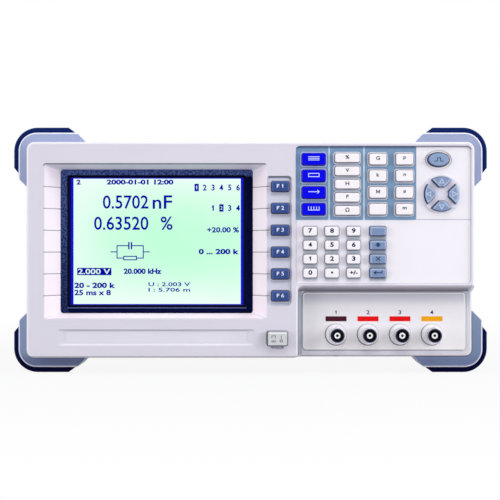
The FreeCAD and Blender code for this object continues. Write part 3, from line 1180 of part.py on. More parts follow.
def screws():
    pieces = []
    through_flange = COVER_SHEET + SHEET_FIT + CHASSIS_SHEET
    for side in (-1, 1):
        inward = Vector(-side, 0, 0)
        x = side * BODY_WIDTH / 2
        guard_x = side * (BODY_WIDTH / 2 + GUARD_OUT - SCREW_SINK)
        for y in SIDE_SCREW_YS:
            pieces.append(screw(x, y, SIDE_SCREW_Z, inward, through_flange + SCREW_RADIUS))
        for z in PAN_SCREW_ZS:
            pieces.append(screw(x, PAN_SCREW_Y, z, inward, through_flange + REAR_SHEET + SCREW_RADIUS))
        for rise in (-1, 1):
            for y in GUARD_SCREW_YS:
                pieces.append(screw(guard_x, y, guard_screw_z(rise), inward,
                                    GUARD_OUT - SCREW_SINK + through_flange))
    for x in TONGUE_SCREWS:
        pieces.append(screw(x, TONGUE_SCREW_Y, BODY_BOTTOM, UPWARD, SKIRT_WALL + SHEET_FIT + CHASSIS_SHEET))
    for x, z in MODULE_BOSSES:
        pieces.append(screw(x, depth(BEZEL_BACK + MODULE_EAR_THICK), z, FORWARD,
                            MODULE_EAR_THICK + SCREW_BITE))
    for x, z in KEY_BOSSES:
        pieces.append(screw(x, depth(BOARD_DEPTH + BOARD_THICK), z, FORWARD, BOARD_THICK + SCREW_BITE))
    for x, y in MAIN_POINTS + SUPPLY_POINTS:
        pieces.append(screw(x, y, BOARD_TOP_Z, DOWNWARD, BOARD_THICK + SCREW_BITE))
    for x in INLET_SCREWS:
        pieces.append(screw(x, REAR_PLATE_BACK + INLET_FLANGE_THICK, INLET_Z, FORWARD,
                            INLET_FLANGE_THICK + REAR_SHEET + SCREW_BITE))
    return pieces


def save(name, shape):
    """Write one node: a single solid, or a group of separate solids."""
    shapes = shape if isinstance(shape, list) else [shape]
    solids = [solid for piece in shapes for solid in piece.Solids]
    whole = solids[0] if len(solids) == 1 else Part.makeCompound(solids)
    whole.exportStep(f"parts/{name}.step")


os.makedirs("parts", exist_ok=True)
save("front_panel", front_panel())
save("display_bezel", display_bezel())
save("lcd_module", lcd_module())
save("key_mat", key_mat())
save("circuit_boards", circuit_boards())
save("bnc_jacks", bnc_jacks())
save("case_cover", case_cover())
save("chassis", chassis())
save("rear_panel", rear_panel())
save("corner_guards", corner_guards())
save("bumpers", bumpers())
save("power_supply", power_supply())
save("mains_inlet", mains_inlet())
save("data_sockets", data_sockets())
save("screws", screws())
for key_name, key_area in KEY_AREAS.items():
    save(key_name, rectangular_key(key_area))
for arrow_name, arrow_shape in arrow_keys().items():
    save(arrow_name, arrow_shape)
save("trigger_key", trigger_key())
save("power_button", power_button())
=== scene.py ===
import json
import math

import bmesh
import bpy
from mathutils import Matrix, Vector


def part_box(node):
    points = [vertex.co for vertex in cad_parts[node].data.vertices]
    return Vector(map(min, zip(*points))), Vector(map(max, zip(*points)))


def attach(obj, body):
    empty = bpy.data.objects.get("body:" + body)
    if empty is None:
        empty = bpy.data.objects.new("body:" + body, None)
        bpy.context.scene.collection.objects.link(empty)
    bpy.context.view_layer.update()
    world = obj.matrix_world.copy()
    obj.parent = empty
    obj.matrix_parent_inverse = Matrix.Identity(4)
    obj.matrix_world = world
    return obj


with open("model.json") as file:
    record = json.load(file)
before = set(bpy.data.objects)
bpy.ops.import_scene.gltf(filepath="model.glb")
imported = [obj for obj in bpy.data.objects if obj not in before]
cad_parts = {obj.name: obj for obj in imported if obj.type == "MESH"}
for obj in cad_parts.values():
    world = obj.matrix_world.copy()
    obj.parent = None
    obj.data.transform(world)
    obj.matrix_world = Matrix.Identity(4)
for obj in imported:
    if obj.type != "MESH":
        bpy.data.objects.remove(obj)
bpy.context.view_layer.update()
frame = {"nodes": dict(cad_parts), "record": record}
nodes = frame["nodes"]
subparts = frame["record"]["subparts"]

MM = 0.001
INSTRUMENT = "instrument"

# Planes from the front face back to the rear, and the underside of the body, measured from the frame
panel_low, panel_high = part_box("front_panel")
bezel_low, bezel_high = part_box("display_bezel")
jacks_low, jacks_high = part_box("bnc_jacks")
guards_low, guards_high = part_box("corner_guards")
BASE = panel_low.z
FACE = panel_low.y
SUNK = FACE + 0.3 * MM
KEY_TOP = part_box("arrow_up_key")[0].y
KEY_FLOOR = FACE + 1.5 * MM
PLATE = FACE + 10.6 * MM
NAME_FLOOR = FACE + 1.0 * MM
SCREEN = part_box("lcd_module")[0].y
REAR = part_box("rear_panel")[1].y
SOCKET_FLOOR = REAR + 1.2 * MM

# Thicknesses of the flat pieces, the hidden ears at a key's sides, and the room round a key
SHEET = 0.3 * MM
FILM = 0.12 * MM
INK = 0.03 * MM
GLASS = 0.4 * MM
EAR = 0.9 * MM
FILM_GAP = 0.85 * MM
SLIVER = 0.05 * MM

# Slopes and corners of the moulded front
RECESS_DEPTH = 15.0
SIDE_SLOPE = 9.7 / RECESS_DEPTH
END_SLOPE = 3.45 / RECESS_DEPTH
BEVEL = 1.6 * MM
BODY_CORNER = 5.2 * MM
GUARD_CORNER = 12.5 * MM
RECESS_CORNER = 1.9 * MM
CHANNEL_CORNER = 2.0 * MM
KEYPAD_CORNER = 2.6 * MM
PLATE_CORNER = 3.0 * MM

# Row of jacks, and the radii of the rings of a jack
JACK_COLLAR = 7.2 * MM
JACK_SHELL = 4.9 * MM
JACK_BORE = 4.5 * MM
JACK_INSULATOR = 2.05 * MM
JACK_CONTACT = 0.95 * MM
JACK_PITCH = 22 * MM
JACK_X = [jacks_low.x + JACK_COLLAR + index * JACK_PITCH for index in range(4)]
JACK_Z = (jacks_low.z + jacks_high.z) / 2


def area(left, right, low, high):
    """A rectangle on the front, in millimetres across from the middle and up from the body's underside."""
    return (left * MM, right * MM, BASE + low * MM, BASE + high * MM)


def grown(zone, margin):
    """A rectangle with a margin added on every side."""
    return (zone[0] - margin, zone[1] + margin, zone[2] - margin, zone[3] + margin)


def key_middle(name):
    """Middle of a key, across and up."""
    low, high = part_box(name)
    return (low.x + high.x) / 2, (low.z + high.z) / 2


BODY = (panel_low.x, panel_high.x, panel_low.z, panel_high.z)
GUARDS = (guards_low.x, guards_high.x, guards_low.z, guards_high.z)
RECESS = area(-141.25, 11.35, 26.2, 132.6)
CHANNEL = area(11.35, 27.65, 35.3, 123.5)
KEYPAD = area(30.75, 150.45, 50.0, 144.2)
POCKET = area(32.1, 160.0, -10.0, 49.0)
POCKET_FLOOR = area(35.2, 160.0, -10.0, 45.0)
POCKET_END = 149.5 * MM
PLATE_SHEET = area(35.4, 148.4, 4.1, 44.8)
NAMEPLATE = area(-125.7, -2.6, 9.9, 17.8)
NAME_RECESS = area(-131.35, 3.05, 8.4, 19.3)
WINDOW = area(-125.55, -4.35, 34.95, 123.85)
PICTURE = area(-122.9, -6.8, 35.9, 122.9)
ZONE_LINE = BASE + 93.9 * MM
ZONE_RIGHT = 112.95 * MM
CURSOR = (129.95 * MM, BASE + 111.5 * MM)


# Shader sums, and the colour sockets of a Mix node
MIX_FIRST = 6
MIX_SECOND = 7
MIX_RESULT = 2


def paint(red, green, blue):
    """A shade, given as it looks on a display from 0 to 255, as a linear colour."""
    def linear(level):
        share = level / 255
        return share / 12.92 if share <= 0.04045 else ((share + 0.055) / 1.055) ** 2.4
    return (linear(red), linear(green), linear(blue), 1.0)


def shaded(colour, share):
    """A colour made darker or lighter."""
    return tuple(channel * share for channel in colour[:3]) + (1.0,)


class Signal:
    """An output socket of a material's nodes. Sums on signals add Math nodes."""

    def __init__(self, tree, socket=None):
        self.tree = tree
        self.socket = socket

    def node(self, kind, settings=None, inputs=None, output=0):
        """A new node: its settings are made first, then the values or links of its sockets."""
        made = self.tree.nodes.new("ShaderNode" + kind)
        for name, value in (settings or {}).items():
            setattr(made, name, value)
        for name, value in (inputs or {}).items():
            if isinstance(value, Signal):
                self.tree.links.new(value.socket, made.inputs[name])
            else:
                made.inputs[name].default_value = value
        return Signal(self.tree, made.outputs[output])

    def maths(self, operation, first, second=0.0):
        return self.node("Math", {"operation": operation}, {0: first, 1: second})

    def __add__(self, other):
        return self.maths("ADD", self, other)

    def __radd__(self, other):
        return self.maths("ADD", other, self)

    def __sub__(self, other):
        return self.maths("SUBTRACT", self, other)

    def __rsub__(self, other):
        return self.maths("SUBTRACT", other, self)

    def __mul__(self, other):
        return self.maths("MULTIPLY", self, other)

    def __rmul__(self, other):
        return self.maths("MULTIPLY", other, self)

    def __gt__(self, other):
        return self.maths("GREATER_THAN", self, other)

    def __lt__(self, other):
        return self.maths("LESS_THAN", self, other)

    def __mod__(self, other):
        return self.maths("FLOORED_MODULO", self, other)

    def larger(self, other):
        return self.maths("MAXIMUM", self, other)

    def smaller(self, other):
        return self.maths("MINIMUM", self, other)

    def size(self):
        return self.maths("ABSOLUTE", self)

    def away(self, other):
        """Distance from a point, from this offset along one axis and the other along a second."""
        return self.maths("SQRT", self * self + other * other)

    def folded(self, middle, pitch):
        """Offset from the nearest of a row of middles that lie a pitch apart."""
        return (self - middle + pitch / 2) % pitch - pitch / 2

    def hump(self, peak, fall):
        """1 at the peak, less by the square of the distance from it."""
        return 1 - (self - peak) * (self - peak) * fall

    def within(self, low, high):
        """1 between two limits, 0 outside them."""
        return (self > low) * (self < high)

    def ramp(self, low, high):
        """0 at low, 1 at high, and straight between."""
        return self.node("MapRange", {}, {"Value": self, "From Min": low, "From Max": high})

    def between(self, first, second):
        """This share of the way from the first value to the second."""
        return first + self * (second - first)

    def mixed(self, first, second):
        """This share of the second colour over the first."""
        shades = {"Factor": self, MIX_FIRST: first, MIX_SECOND: second}
        return self.node("Mix", {"data_type": "RGBA"}, shades, MIX_RESULT)

    def feed(self, socket):
        self.tree.links.new(self.socket, socket)


def new_finish(name, shine=0.4):
    """A material, a signal to start its nodes from, and its shader."""
    material = bpy.data.materials.new(name)
    material.use_nodes = True
    shader = material.node_tree.nodes["Principled BSDF"]
    shader.inputs["Specular IOR Level"].default_value = shine
    return material, Signal(material.node_tree), shader


def place_on(signal):
    """The place on the object."""
    return signal.node("TexCoord", output="Object")


def place_axes(signal):
    """The place on the object, and its three coordinates in metres."""
    place = place_on(signal)
    axes = [signal.node("SeparateXYZ", {}, {"Vector": place}, axis) for axis in range(3)]
    return place, *axes


def noise(signal, place, size, detail=2.0):
    """Soft noise with features of about this size in millimetres."""
    return signal.node("TexNoise", {}, {"Vector": place, "Scale": 1 / (size * MM), "Detail": detail})


def relief(signal, shader, height, strength, distance=0.05 * MM):
    """Fine relief on a surface, from a height."""
    bump = signal.node("Bump", {}, {"Strength": strength, "Distance": distance, "Height": height})
    bump.feed(shader.inputs["Normal"])


def rough(shader, grain, low, high):
    """Roughness that follows a grain between two values."""
    grain.between(low, high).feed(shader.inputs["Roughness"])


def uneven_gloss(shader, middle, fine, slow):
    """Roughness about a middle value, with a fine and a slow change."""
    fine_share = 0.10
    slow_share = 0.06
    start = middle - (fine_share + slow_share) / 2
    (fine * fine_share + slow * slow_share + start).feed(shader.inputs["Roughness"])


def inside(x, z, zone):
    """1 inside a rectangle (x0, x1, z0, z1) on the front."""
    return x.within(zone[0], zone[1]) * z.within(zone[2], zone[3])


def edge_depth(x, z, zone, corner):
    """How far a place is inside a round-cornered rectangle, counted up to the corner's radius."""
    def past(place, low, high):
        return ((place - (low + high) / 2).size() - ((high - low) / 2 - corner)).larger(0.0)
    return corner - past(x, zone[0], zone[1]).away(past(z, zone[2], zone[3]))


def from_cursor(x, z):
    """Offsets from the middle of the arrow keys, and the distance from it."""
    across = x - CURSOR[0]
    up = z - CURSOR[1]
    return across, up, across.away(up)


# General finishes
def plastic(name, colour, roughness=0.42, grain=0.45, depth=0.12, shine=0.4):
    """Moulded plastic: fine grain, a slow drift of shade and uneven gloss."""
    drift = 0.05
    material, signal, shader = new_finish(name, shine)
    place = place_on(signal)
    fine = noise(signal, place, grain, detail=3.0)
    slow = noise(signal, place, 38.0)
    slow.mixed(shaded(colour, 1 - drift), shaded(colour, 1 + drift)).feed(shader.inputs["Base Color"])
    uneven_gloss(shader, roughness, fine, slow)
    relief(signal, shader, fine, depth)
    return material


def ink(name, colour, shine=0.4):
    """Printed ink with hardly any grain."""
    return plastic(name, colour, roughness=0.5, grain=0.3, depth=0.02, shine=shine)


def rim_plastic(name, colour):
    """Smooth plastic of the thin rims round the keys."""
    return plastic(name, colour, roughness=0.4, grain=0.4, depth=0.05)


def lit_ink(name, colour, strength):
    """Screen characters: they glow a little, with a faint grain of picture cells."""
    material, signal, shader = new_finish(name, shine=0.0)
    tone = noise(signal, place_on(signal), 6.0).mixed(shaded(colour, 0.9), shaded(colour, 1.1))
    tone.feed(shader.inputs["Emission Color"])
    shader.inputs["Base Color"].default_value = shaded(colour, 0.05)
    shader.inputs["Emission Strength"].default_value = strength
    return material


def metal(name, colour, roughness):
    """Plated metal with faint brushing and slight clouding."""
    spread = 0.08
    material, signal, shader = new_finish(name)
    place = place_on(signal)
    cloud = noise(signal, place, 9.0)
    fine = noise(signal, place, 0.9, detail=4.0)
    cloud.mixed(shaded(colour, 0.88), colour).feed(shader.inputs["Base Color"])
    rough(shader, fine, roughness - spread, roughness + spread)
    relief(signal, shader, fine, strength=0.05)
    shader.inputs["Metallic"].default_value = 1.0
    return material


def sheet_paint(name, colour):
    """Fine textured powder paint on sheet metal."""
    material, signal, shader = new_finish(name)
    place = place_on(signal)
    orange_peel = noise(signal, place, 0.8)
    slow = noise(signal, place, 60.0)
    slow.mixed(shaded(colour, 0.95), shaded(colour, 1.04)).feed(shader.inputs["Base Color"])
    rough(shader, orange_peel, 0.42, 0.57)
    relief(signal, shader, orange_peel, strength=0.35)
    return material


# Finish of the front panel
KEYPAD_PALE = paint(250, 247, 255)
# Painted shadow in the gaps below the number keys and the entry keys
NUMBER_GAP_PAINTED_SHADOW = paint(196, 202, 214)
ENTRY_GAP_PAINTED_SHADOW = paint(172, 182, 202)
# Painted shade along the edges of the recesses
EDGE_PAINTED_SHADE = paint(84, 86, 108)


def screen_lines(x, y, z):
    """Height above the nearest of the lines that lead from the screen to its keys, and where they run."""
    first = key_middle("function_key_1")[1]
    last = key_middle("function_key_6")[1]
    gaps = 5
    pitch = (first - last) / gaps
    overrun = 2.8 * MM
    run = z.within(last - pitch / 2, first + pitch / 2) * (y > SUNK) * (y < bezel_low.y)
    return z.folded(last, pitch), run * x.within(RECESS[0], CHANNEL[0] + overrun)


def key_gaps(x, z):
    """Shares of the shade that the number keys and the entry keys throw on the floor below them."""
    soft = 0.9 * MM
    low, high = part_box("number_key_7")
    pitch = low.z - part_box("number_key_4")[0].z
    gap = pitch - (high.z - low.z)
    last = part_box("number_key_0")[0].z
    rows = ((low.z - z) % pitch < gap) * (z < low.z) * z.ramp(last - gap, last - 0.3 * gap)
    first = key_middle("number_key_7")[0]
    step = key_middle("number_key_8")[0] - first
    columns_end = first + 2.5 * step
    half = (high.x - low.x) / 2 - EAR
    number_off = x.folded(first, step).size()
    number_share = number_off.ramp(half + soft, half - soft) * (x < columns_end) * rows
    entry_low, entry_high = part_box("entry_key_1")
    entry_half = (entry_high.x - entry_low.x) / 2 - EAR
    entry_off = (x - key_middle("entry_key_1")[0]).size()
    return number_share, entry_off.ramp(entry_half + soft, entry_half - soft) * rows


def gap_shades(x, z, shade):
    """A shade of the keypad's floor, with painted shadow in the gaps below the number keys and the entry
    keys.
    """
    number_share, entry_share = key_gaps(x, z)
    return entry_share.mixed(number_share.mixed(shade, NUMBER_GAP_PAINTED_SHADOW), ENTRY_GAP_PAINTED_SHADOW)


def keypad_tints(x, y, z, shade):
    """Pale floor of the keypad with painted shadow below its lower keys, and the dish of the arrow keys
    painted pure white over the shade there.
    """
    dish_radius = 13.8 * MM
    keypad = inside(x, z, KEYPAD) * (y > SUNK)
    dish = (from_cursor(x, z)[2] < dish_radius) * (y > KEY_FLOOR - SLIVER)
    shade = keypad.mixed(shade, gap_shades(x, z, KEYPAD_PALE))
    # Painted light: the dish is painted pure white to lift the shade between the arrow keys
    return dish.mixed(shade, paint(255, 255, 255))


def channel_tints(x, y, z, shade):
    """Floor of the channel beside the screen, shaded below each key."""
    floor = FACE + 1.0 * MM
    shade_start = 0.6 * MM
    shade_end = 3.2 * MM
    low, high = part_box("function_key_1")
    pitch = low.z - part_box("function_key_2")[0].z
    drop = (low.z - z) % pitch
    under_key = drop.ramp(shade_end, shade_start) * x.within(low.x + EAR, high.x - EAR) * (z < low.z)
    tint = under_key.mixed(paint(226, 227, 244), paint(178, 184, 206))
    return (inside(x, z, CHANNEL) * (y > floor)).mixed(shade, tint)


def pocket_tints(x, y, z, shade):
    """Pale floor of the jack pocket, with painted shade on its walls: grey on the left wall, darker at the
    right end towards the top, and dark on the upper wall.
    """
    ceiling = POCKET_FLOOR[3]
    pocket = inside(x, z, POCKET) * (y > SUNK)
    painted_shade_side = pocket * (x < POCKET_FLOOR[0])
    end_painted_shade = pocket * (x > PLATE_SHEET[1]) * z.ramp(ceiling - 14 * MM, ceiling - 4 * MM)
    top = pocket * (z > ceiling) * (x < POCKET_END)
    top_wall_painted_shade = z.ramp(ceiling + 1.2 * MM, POCKET[3]).mixed(paint(122, 120, 132), paint(222, 216, 227))
    shade = pocket.mixed(shade, paint(222, 220, 232))
    # Painted shade on the pocket's left wall, its right end and its upper wall
    shade = painted_shade_side.mixed(shade, paint(154, 160, 174))
    shade = end_painted_shade.mixed(shade, paint(198, 202, 218))
    return top.mixed(shade, top_wall_painted_shade)


def slope_tints(x, y, z, shade):
    """Painted light on the slopes at the sides and the foot of the screen's recess, painted paler and
    warmer than the face.
    """
    slack = 0.3 * MM
    depth = y - FACE
    inward = depth * SIDE_SLOPE + slack
    sides = (x - RECESS[0] < inward).larger(RECESS[1] - x < inward)
    foot = z - RECESS[2] < depth * END_SLOPE + slack
    slopes = inside(x, z, RECESS) * (y > SUNK) * sides.larger(foot)
    # Painted light: the slopes are painted near white
    tint = x.ramp(RECESS[0], RECESS[1]).mixed(paint(252, 240, 251), paint(255, 240, 252))
    return slopes.mixed(shade, tint)


def top_heavy_line(x, z, zone, corner, width):
    """A line of painted shade inside the edge of a recess, strongest along its top."""
    top_band = 2.0 * MM
    line = edge_depth(x, z, zone, corner).within(0.0, width)
    return line * (z > zone[3] - top_band).between(0.25, 0.7)


def recess_lines(x, z):
    """Shares of the lines of painted shade along the edges of the recesses."""
    opening = 1.0 * MM
    end_band = 2.5 * MM
    thin = 0.6 * MM
    screen = top_heavy_line(x, z, RECESS, RECESS_CORNER, 0.8 * MM) * (x < RECESS[1] - opening)
    keypad = top_heavy_line(x, z, KEYPAD, KEYPAD_CORNER, 0.7 * MM)
    channel_line = edge_depth(x, z, CHANNEL, CHANNEL_CORNER).within(-0.4 * MM, 1.1 * MM)
    channel = channel_line * (x > CHANNEL[0] + opening)
    channel_share = (z > CHANNEL[3] - end_band) * 0.45 + (z > CHANNEL[2] + end_band) * 0.2
    pocket = x.within(POCKET[0], POCKET[0] + thin) * (z < POCKET_FLOOR[3]) * 0.5
    name = inside(x, z, NAME_RECESS) * (z > NAME_RECESS[3] - thin) * 0.5
    return screen.larger(keypad).larger(channel * channel_share).larger(pocket).larger(name)


def panel_edges(x, y, z, shade):
    """Painted highlights on the rims of the body and the pocket, painted shade along the body's underside,
    the line across the keypad, and painted shade along the recesses' edges.
    """
    rim_width = 1.5 * MM
    rim_back = FACE + 2.2 * MM
    pocket_rim_back = PLATE + 1.6 * MM
    line_width = 0.8 * MM
    front = (y < rim_back).larger(inside(x, z, POCKET) * (y < pocket_rim_back))
    painted_highlight_rim = (edge_depth(x, z, BODY, BODY_CORNER) < rim_width) * front
    underside_painted_shade = z.ramp(BASE + 1.6 * MM, BASE + 1.1 * MM)
    pocket_painted_highlight_rim = x.within(POCKET[0] - line_width, POCKET[0]) * (z < POCKET[3]) * (y < SUNK)
    zone_line = z.within(ZONE_LINE, ZONE_LINE + line_width) * (y > KEY_FLOOR)
    zone_line = zone_line * x.within(ZONE_RIGHT, KEYPAD[1])
    # Painted highlight on the body's rim, with painted shade along its underside, and a painted highlight
    # beside the pocket
    shade = painted_highlight_rim.mixed(shade, underside_painted_shade.mixed(paint(241, 238, 248), paint(196, 192, 203)))
    shade = pocket_painted_highlight_rim.mixed(shade, paint(252, 248, 255))
    shade = (zone_line * 0.6).mixed(shade, paint(150, 160, 184))
    return (recess_lines(x, z) * (y > FACE + SLIVER)).mixed(shade, EDGE_PAINTED_SHADE)


def front_panel_finish():
    """Pale moulding, with painted light and shade in its recesses, and lined screen slopes with a painted
    highlight under each line.
    """
    material, signal, shader = new_finish("front_moulding")
    place, x, y, z = place_axes(signal)
    fine = noise(signal, place, 0.5, detail=3.0)
    slow = noise(signal, place, 45.0)
    half_line = 0.35 * MM
    painted_highlight_foot = -1.0 * MM
    shade = slow.mixed(paint(222, 218, 232), paint(229, 225, 239))
    for tints in (keypad_tints, channel_tints, pocket_tints, slope_tints):
        shade = tints(x, y, z, shade)
    offset, run = screen_lines(x, y, z)
    # Painted highlight under each line on the screen slopes
    shade = (run * offset.within(painted_highlight_foot, -half_line)).mixed(shade, paint(255, 250, 255))
    shade = (run * offset.within(-half_line, half_line)).mixed(shade, paint(182, 168, 181))
    panel_edges(x, y, z, shade).feed(shader.inputs["Base Color"])
    rough(shader, fine, 0.40, 0.52)
    relief(signal, shader, fine, strength=0.10)
    return material


# Finishes of the screen, the jacks and the other fixed pieces
def bezel_finish():
    """Navy plastic with a coarse grain, with painted light making it paler at the top and the left, a
    black inner lip, and a painted highlight along the window's foot.
    """
    material, signal, shader = new_finish("bezel_navy_grain", shine=0.03)
    place, x, y, z = place_axes(signal)
    coarse = noise(signal, place, 0.9, detail=4.0)
    top = z.ramp(WINDOW[3], WINDOW[3] + BEVEL)
    left = x.ramp(WINDOW[0], WINDOW[0] - BEVEL) * z.ramp(bezel_low.z, bezel_high.z).between(0.15, 1.0)
    # Painted light: paler at the top and the left
    painted_light = top.larger(left)
    hollows = painted_light.mixed(paint(0, 3, 40), paint(34, 50, 106))
    peaks = painted_light.mixed(paint(7, 15, 62), paint(92, 112, 172))
    lip = y > bezel_low.y + 0.2 * MM
    foot = WINDOW[2] - BEVEL
    line = x.within(WINDOW[0] - BEVEL, WINDOW[1] + BEVEL) * z.within(foot - 0.4 * MM, foot + 0.3 * MM)
    shade = coarse.ramp(0.42, 0.60).mixed(hollows, peaks)
    shade = lip.mixed(shade, paint(0, 0, 24))
    # Painted highlight along the foot of the window
    line.mixed(shade, paint(84, 90, 136)).feed(shader.inputs["Base Color"])
    rough(shader, coarse, 0.40, 0.60)
    relief(signal, shader, coarse, strength=0.4, distance=0.2 * MM)
    return material


def screen_finish():
    """Lit screen: a mint picture that pales to its corners, inside a blue border."""
    material, signal, shader = new_finish("screen_picture", shine=0.03)
    place, x, _, z = place_axes(signal)
    cloud = noise(signal, place, 42.0)
    border_width = 1.8 * MM
    across = x.ramp(PICTURE[0], PICTURE[1])
    up = z.ramp(PICTURE[2], PICTURE[3])
    green = up.hump(0.5, 4.2) * across.hump(0.65, 2.0) + (cloud - 0.5) * 0.5
    mint = green.mixed(paint(236, 255, 247), paint(193, 255, 217))
    near = inside(x, z, grown(PICTURE, border_width))
    border = near.mixed(paint(0, 0, 100), paint(8, 18, 208))
    inside(x, z, PICTURE).mixed(border, mint).feed(shader.inputs["Emission Color"])
    shader.inputs["Base Color"].default_value = paint(2, 4, 8)
    shader.inputs["Emission Strength"].default_value = 1.0
    shader.inputs["Roughness"].default_value = 0.25
    return material


def jack_finish():
    """Nickel shells on pale collars, with painted shade in their mouths and on the ends of the shells, and
    white insulators.
    """
    material, signal, shader = new_finish("nickel_and_insulator")
    place, x, y, z = place_axes(signal)
    tip = jacks_low.y
    collar_front = PLATE - 2.1 * MM
    bore_end = tip + 8.6 * MM
    lip_end = tip + 0.5 * MM
    radius = x.folded(JACK_X[0], JACK_PITCH).away(z - JACK_Z)
    collar = (y > collar_front) * (radius > JACK_SHELL)
    core = (radius < JACK_INSULATOR) * (y < PLATE)
    contact = (radius < JACK_CONTACT) * (y < PLATE)
    painted_shade_bore = (radius < JACK_BORE) * (y < bore_end)
    lip = radius.within(JACK_BORE, JACK_SHELL) * (y < lip_end)
    cloud = noise(signal, place, 3.0)
    shade = cloud.mixed(paint(190, 190, 200), paint(226, 226, 232))
    shade = collar.mixed(shade, paint(250, 248, 252))
    # Painted shade on the end of each shell and in its mouth
    shade = lip.mixed(shade, paint(96, 98, 120))
    shade = painted_shade_bore.mixed(shade, cloud.mixed(paint(8, 4, 36), paint(26, 20, 66)))
    shade = core.mixed(shade, paint(252, 252, 252))
    contact.mixed(shade, paint(26, 18, 40)).feed(shader.inputs["Base Color"])
    bare_metal = 1 - collar.larger(painted_shade_bore)
    bare_metal.feed(shader.inputs["Metallic"])
    (bare_metal.between(0.40, 0.16) + cloud * 0.12).feed(shader.inputs["Roughness"])
    return material


def data_socket_finish():
    """Plated shells and flanges, with the white insulator of the single jack and painted shade in its
    mouth.
    """
    material, signal, shader = new_finish("plated_shells")
    place, x, y, z = place_axes(signal)
    low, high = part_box("data_sockets")
    insulator = 2.47 * MM
    radius = x.away(z - (low.z + high.z) / 2)
    core = (radius < insulator) * (y > REAR)
    contact = (radius < 0.8 * MM) * (y > REAR)
    painted_shade_bore = radius.within(insulator, 4.1 * MM) * (y > REAR)
    cloud = noise(signal, place, 3.0)
    shade = cloud.mixed(paint(172, 172, 178), paint(204, 204, 208))
    # Painted shade in the mouth of the jack
    shade = painted_shade_bore.mixed(shade, paint(60, 58, 66))
    shade = core.mixed(shade, paint(246, 246, 246))
    contact.mixed(shade, paint(40, 34, 30)).feed(shader.inputs["Base Color"])
    (1 - core).feed(shader.inputs["Metallic"])
    (core.between(0.2, 0.4) + cloud * 0.16).feed(shader.inputs["Roughness"])
    return material


def inlet_finish():
    """Black moulding with three plated blades."""
    material, signal, shader = new_finish("inlet_black_and_blades")
    place, x, y, z = place_axes(signal)
    low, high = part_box("mains_inlet")
    reach_x = 8.2 * MM
    reach_z = 4.2 * MM
    floor = low.y + 2.6 * MM
    off = x - (low.x + high.x) / 2
    up = z - (low.z + high.z) / 2
    blade = off.within(-reach_x, reach_x) * up.within(-reach_z, reach_z) * (y > floor)
    grain = noise(signal, place, 0.5, detail=3.0)
    black = grain.mixed(paint(18, 18, 20), paint(34, 34, 37))
    blade.mixed(black, paint(205, 200, 190)).feed(shader.inputs["Base Color"])
    blade.feed(shader.inputs["Metallic"])
    rough(shader, grain, 0.34, 0.49)
    relief(signal, shader, grain, strength=0.15)
    return material


def board_finish():
    """Green laminate with dark parts on it."""
    material, signal, shader = new_finish("laminate_and_parts")
    place, _, y, z = place_axes(signal)
    board_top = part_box("chassis")[0].z + 11.3 * MM
    key_board_back = FACE + 45 * MM
    parts = (z > board_top) * (y > key_board_back)
    weave = noise(signal, place, 1.2)
    tracks = noise(signal, place, 4.0, detail=0.0)
    green = tracks.mixed(paint(16, 88, 48), paint(36, 124, 66))
    parts.mixed(green, paint(42, 42, 46)).feed(shader.inputs["Base Color"])
    rough(shader, weave, 0.35, 0.55)
    relief(signal, shader, weave, strength=0.1)
    return material


def guard_finish():
    """Satin blue-grey moulding, with painted light paler at the top and the left, painted shade at the
    foot, and a painted highlight line round its ends.
    """
    material, signal, shader = new_finish("guard_blue_grey", shine=0.3)
    place, x, y, z = place_axes(signal)
    fine = noise(signal, place, 0.6, detail=3.0)
    slow = noise(signal, place, 30.0)
    middle_band = 40 * MM
    foot_band = 3 * MM
    end_band = 1.2 * MM
    rim_width = 1.0 * MM
    # Painted light and shade: paler at the top and the left, darker at the right and the foot
    rise = z.ramp(BASE, guards_high.z) + (slow - 0.5) * 0.15
    left_painted_light_and_shade = rise.mixed(paint(137, 154, 189), paint(166, 177, 214))
    right_painted_light_and_shade = rise.mixed(paint(117, 136, 168), paint(161, 171, 205))
    shade = x.ramp(-middle_band, middle_band).mixed(left_painted_light_and_shade, right_painted_light_and_shade)
    shade = z.ramp(BASE + foot_band, BASE - foot_band).mixed(shade, paint(104, 117, 154))
    # Painted highlight round the guard's ends
    ends = (y < guards_low.y + end_band).larger(y > guards_high.y - end_band)
    painted_highlight_rim = (edge_depth(x, z, GUARDS, GUARD_CORNER) < rim_width) * ends
    (painted_highlight_rim * 0.8).mixed(shade, paint(246, 244, 255)).feed(shader.inputs["Base Color"])
    rough(shader, fine, 0.34, 0.44)
    relief(signal, shader, fine, strength=0.10)
    return material


def rubber_finish():
    """Matt navy rubber, with painted shade deepening it towards the floor."""
    material, signal, shader = new_finish("bumper_navy_rubber", shine=0.05)
    place, _, _, z = place_axes(signal)
    low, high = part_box("bumpers")
    foot_top = low.z + 28 * MM
    fine = noise(signal, place, 0.7, detail=3.0)
    # Painted shade: darker towards the floor, lighter at the top
    foot = (z.ramp(low.z, foot_top) + (fine - 0.5) * 0.15).mixed(paint(0, 2, 46), paint(3, 17, 76))
    z.ramp(foot_top, high.z).mixed(foot, paint(12, 34, 95)).feed(shader.inputs["Base Color"])
    rough(shader, fine, 0.5, 0.62)
    relief(signal, shader, fine, strength=0.25)
    return material


# Finishes of the keys, and how far from an edge each tone of painted light and shade starts and is full
KEY_WHITE = paint(254, 250, 255)
KEY_SIDE_PAINTED_SHADE = paint(158, 156, 176)
KEY_LIGHT = paint(188, 204, 232)
PALE_PAINTED_LIGHT_BAND = (1.5 * MM, 0.3 * MM)
BRIGHT_PAINTED_HIGHLIGHT_BAND = (1.9 * MM, 0.9 * MM)
DARK_PAINTED_SHADE_BAND = (0.65 * MM, 0.3 * MM)


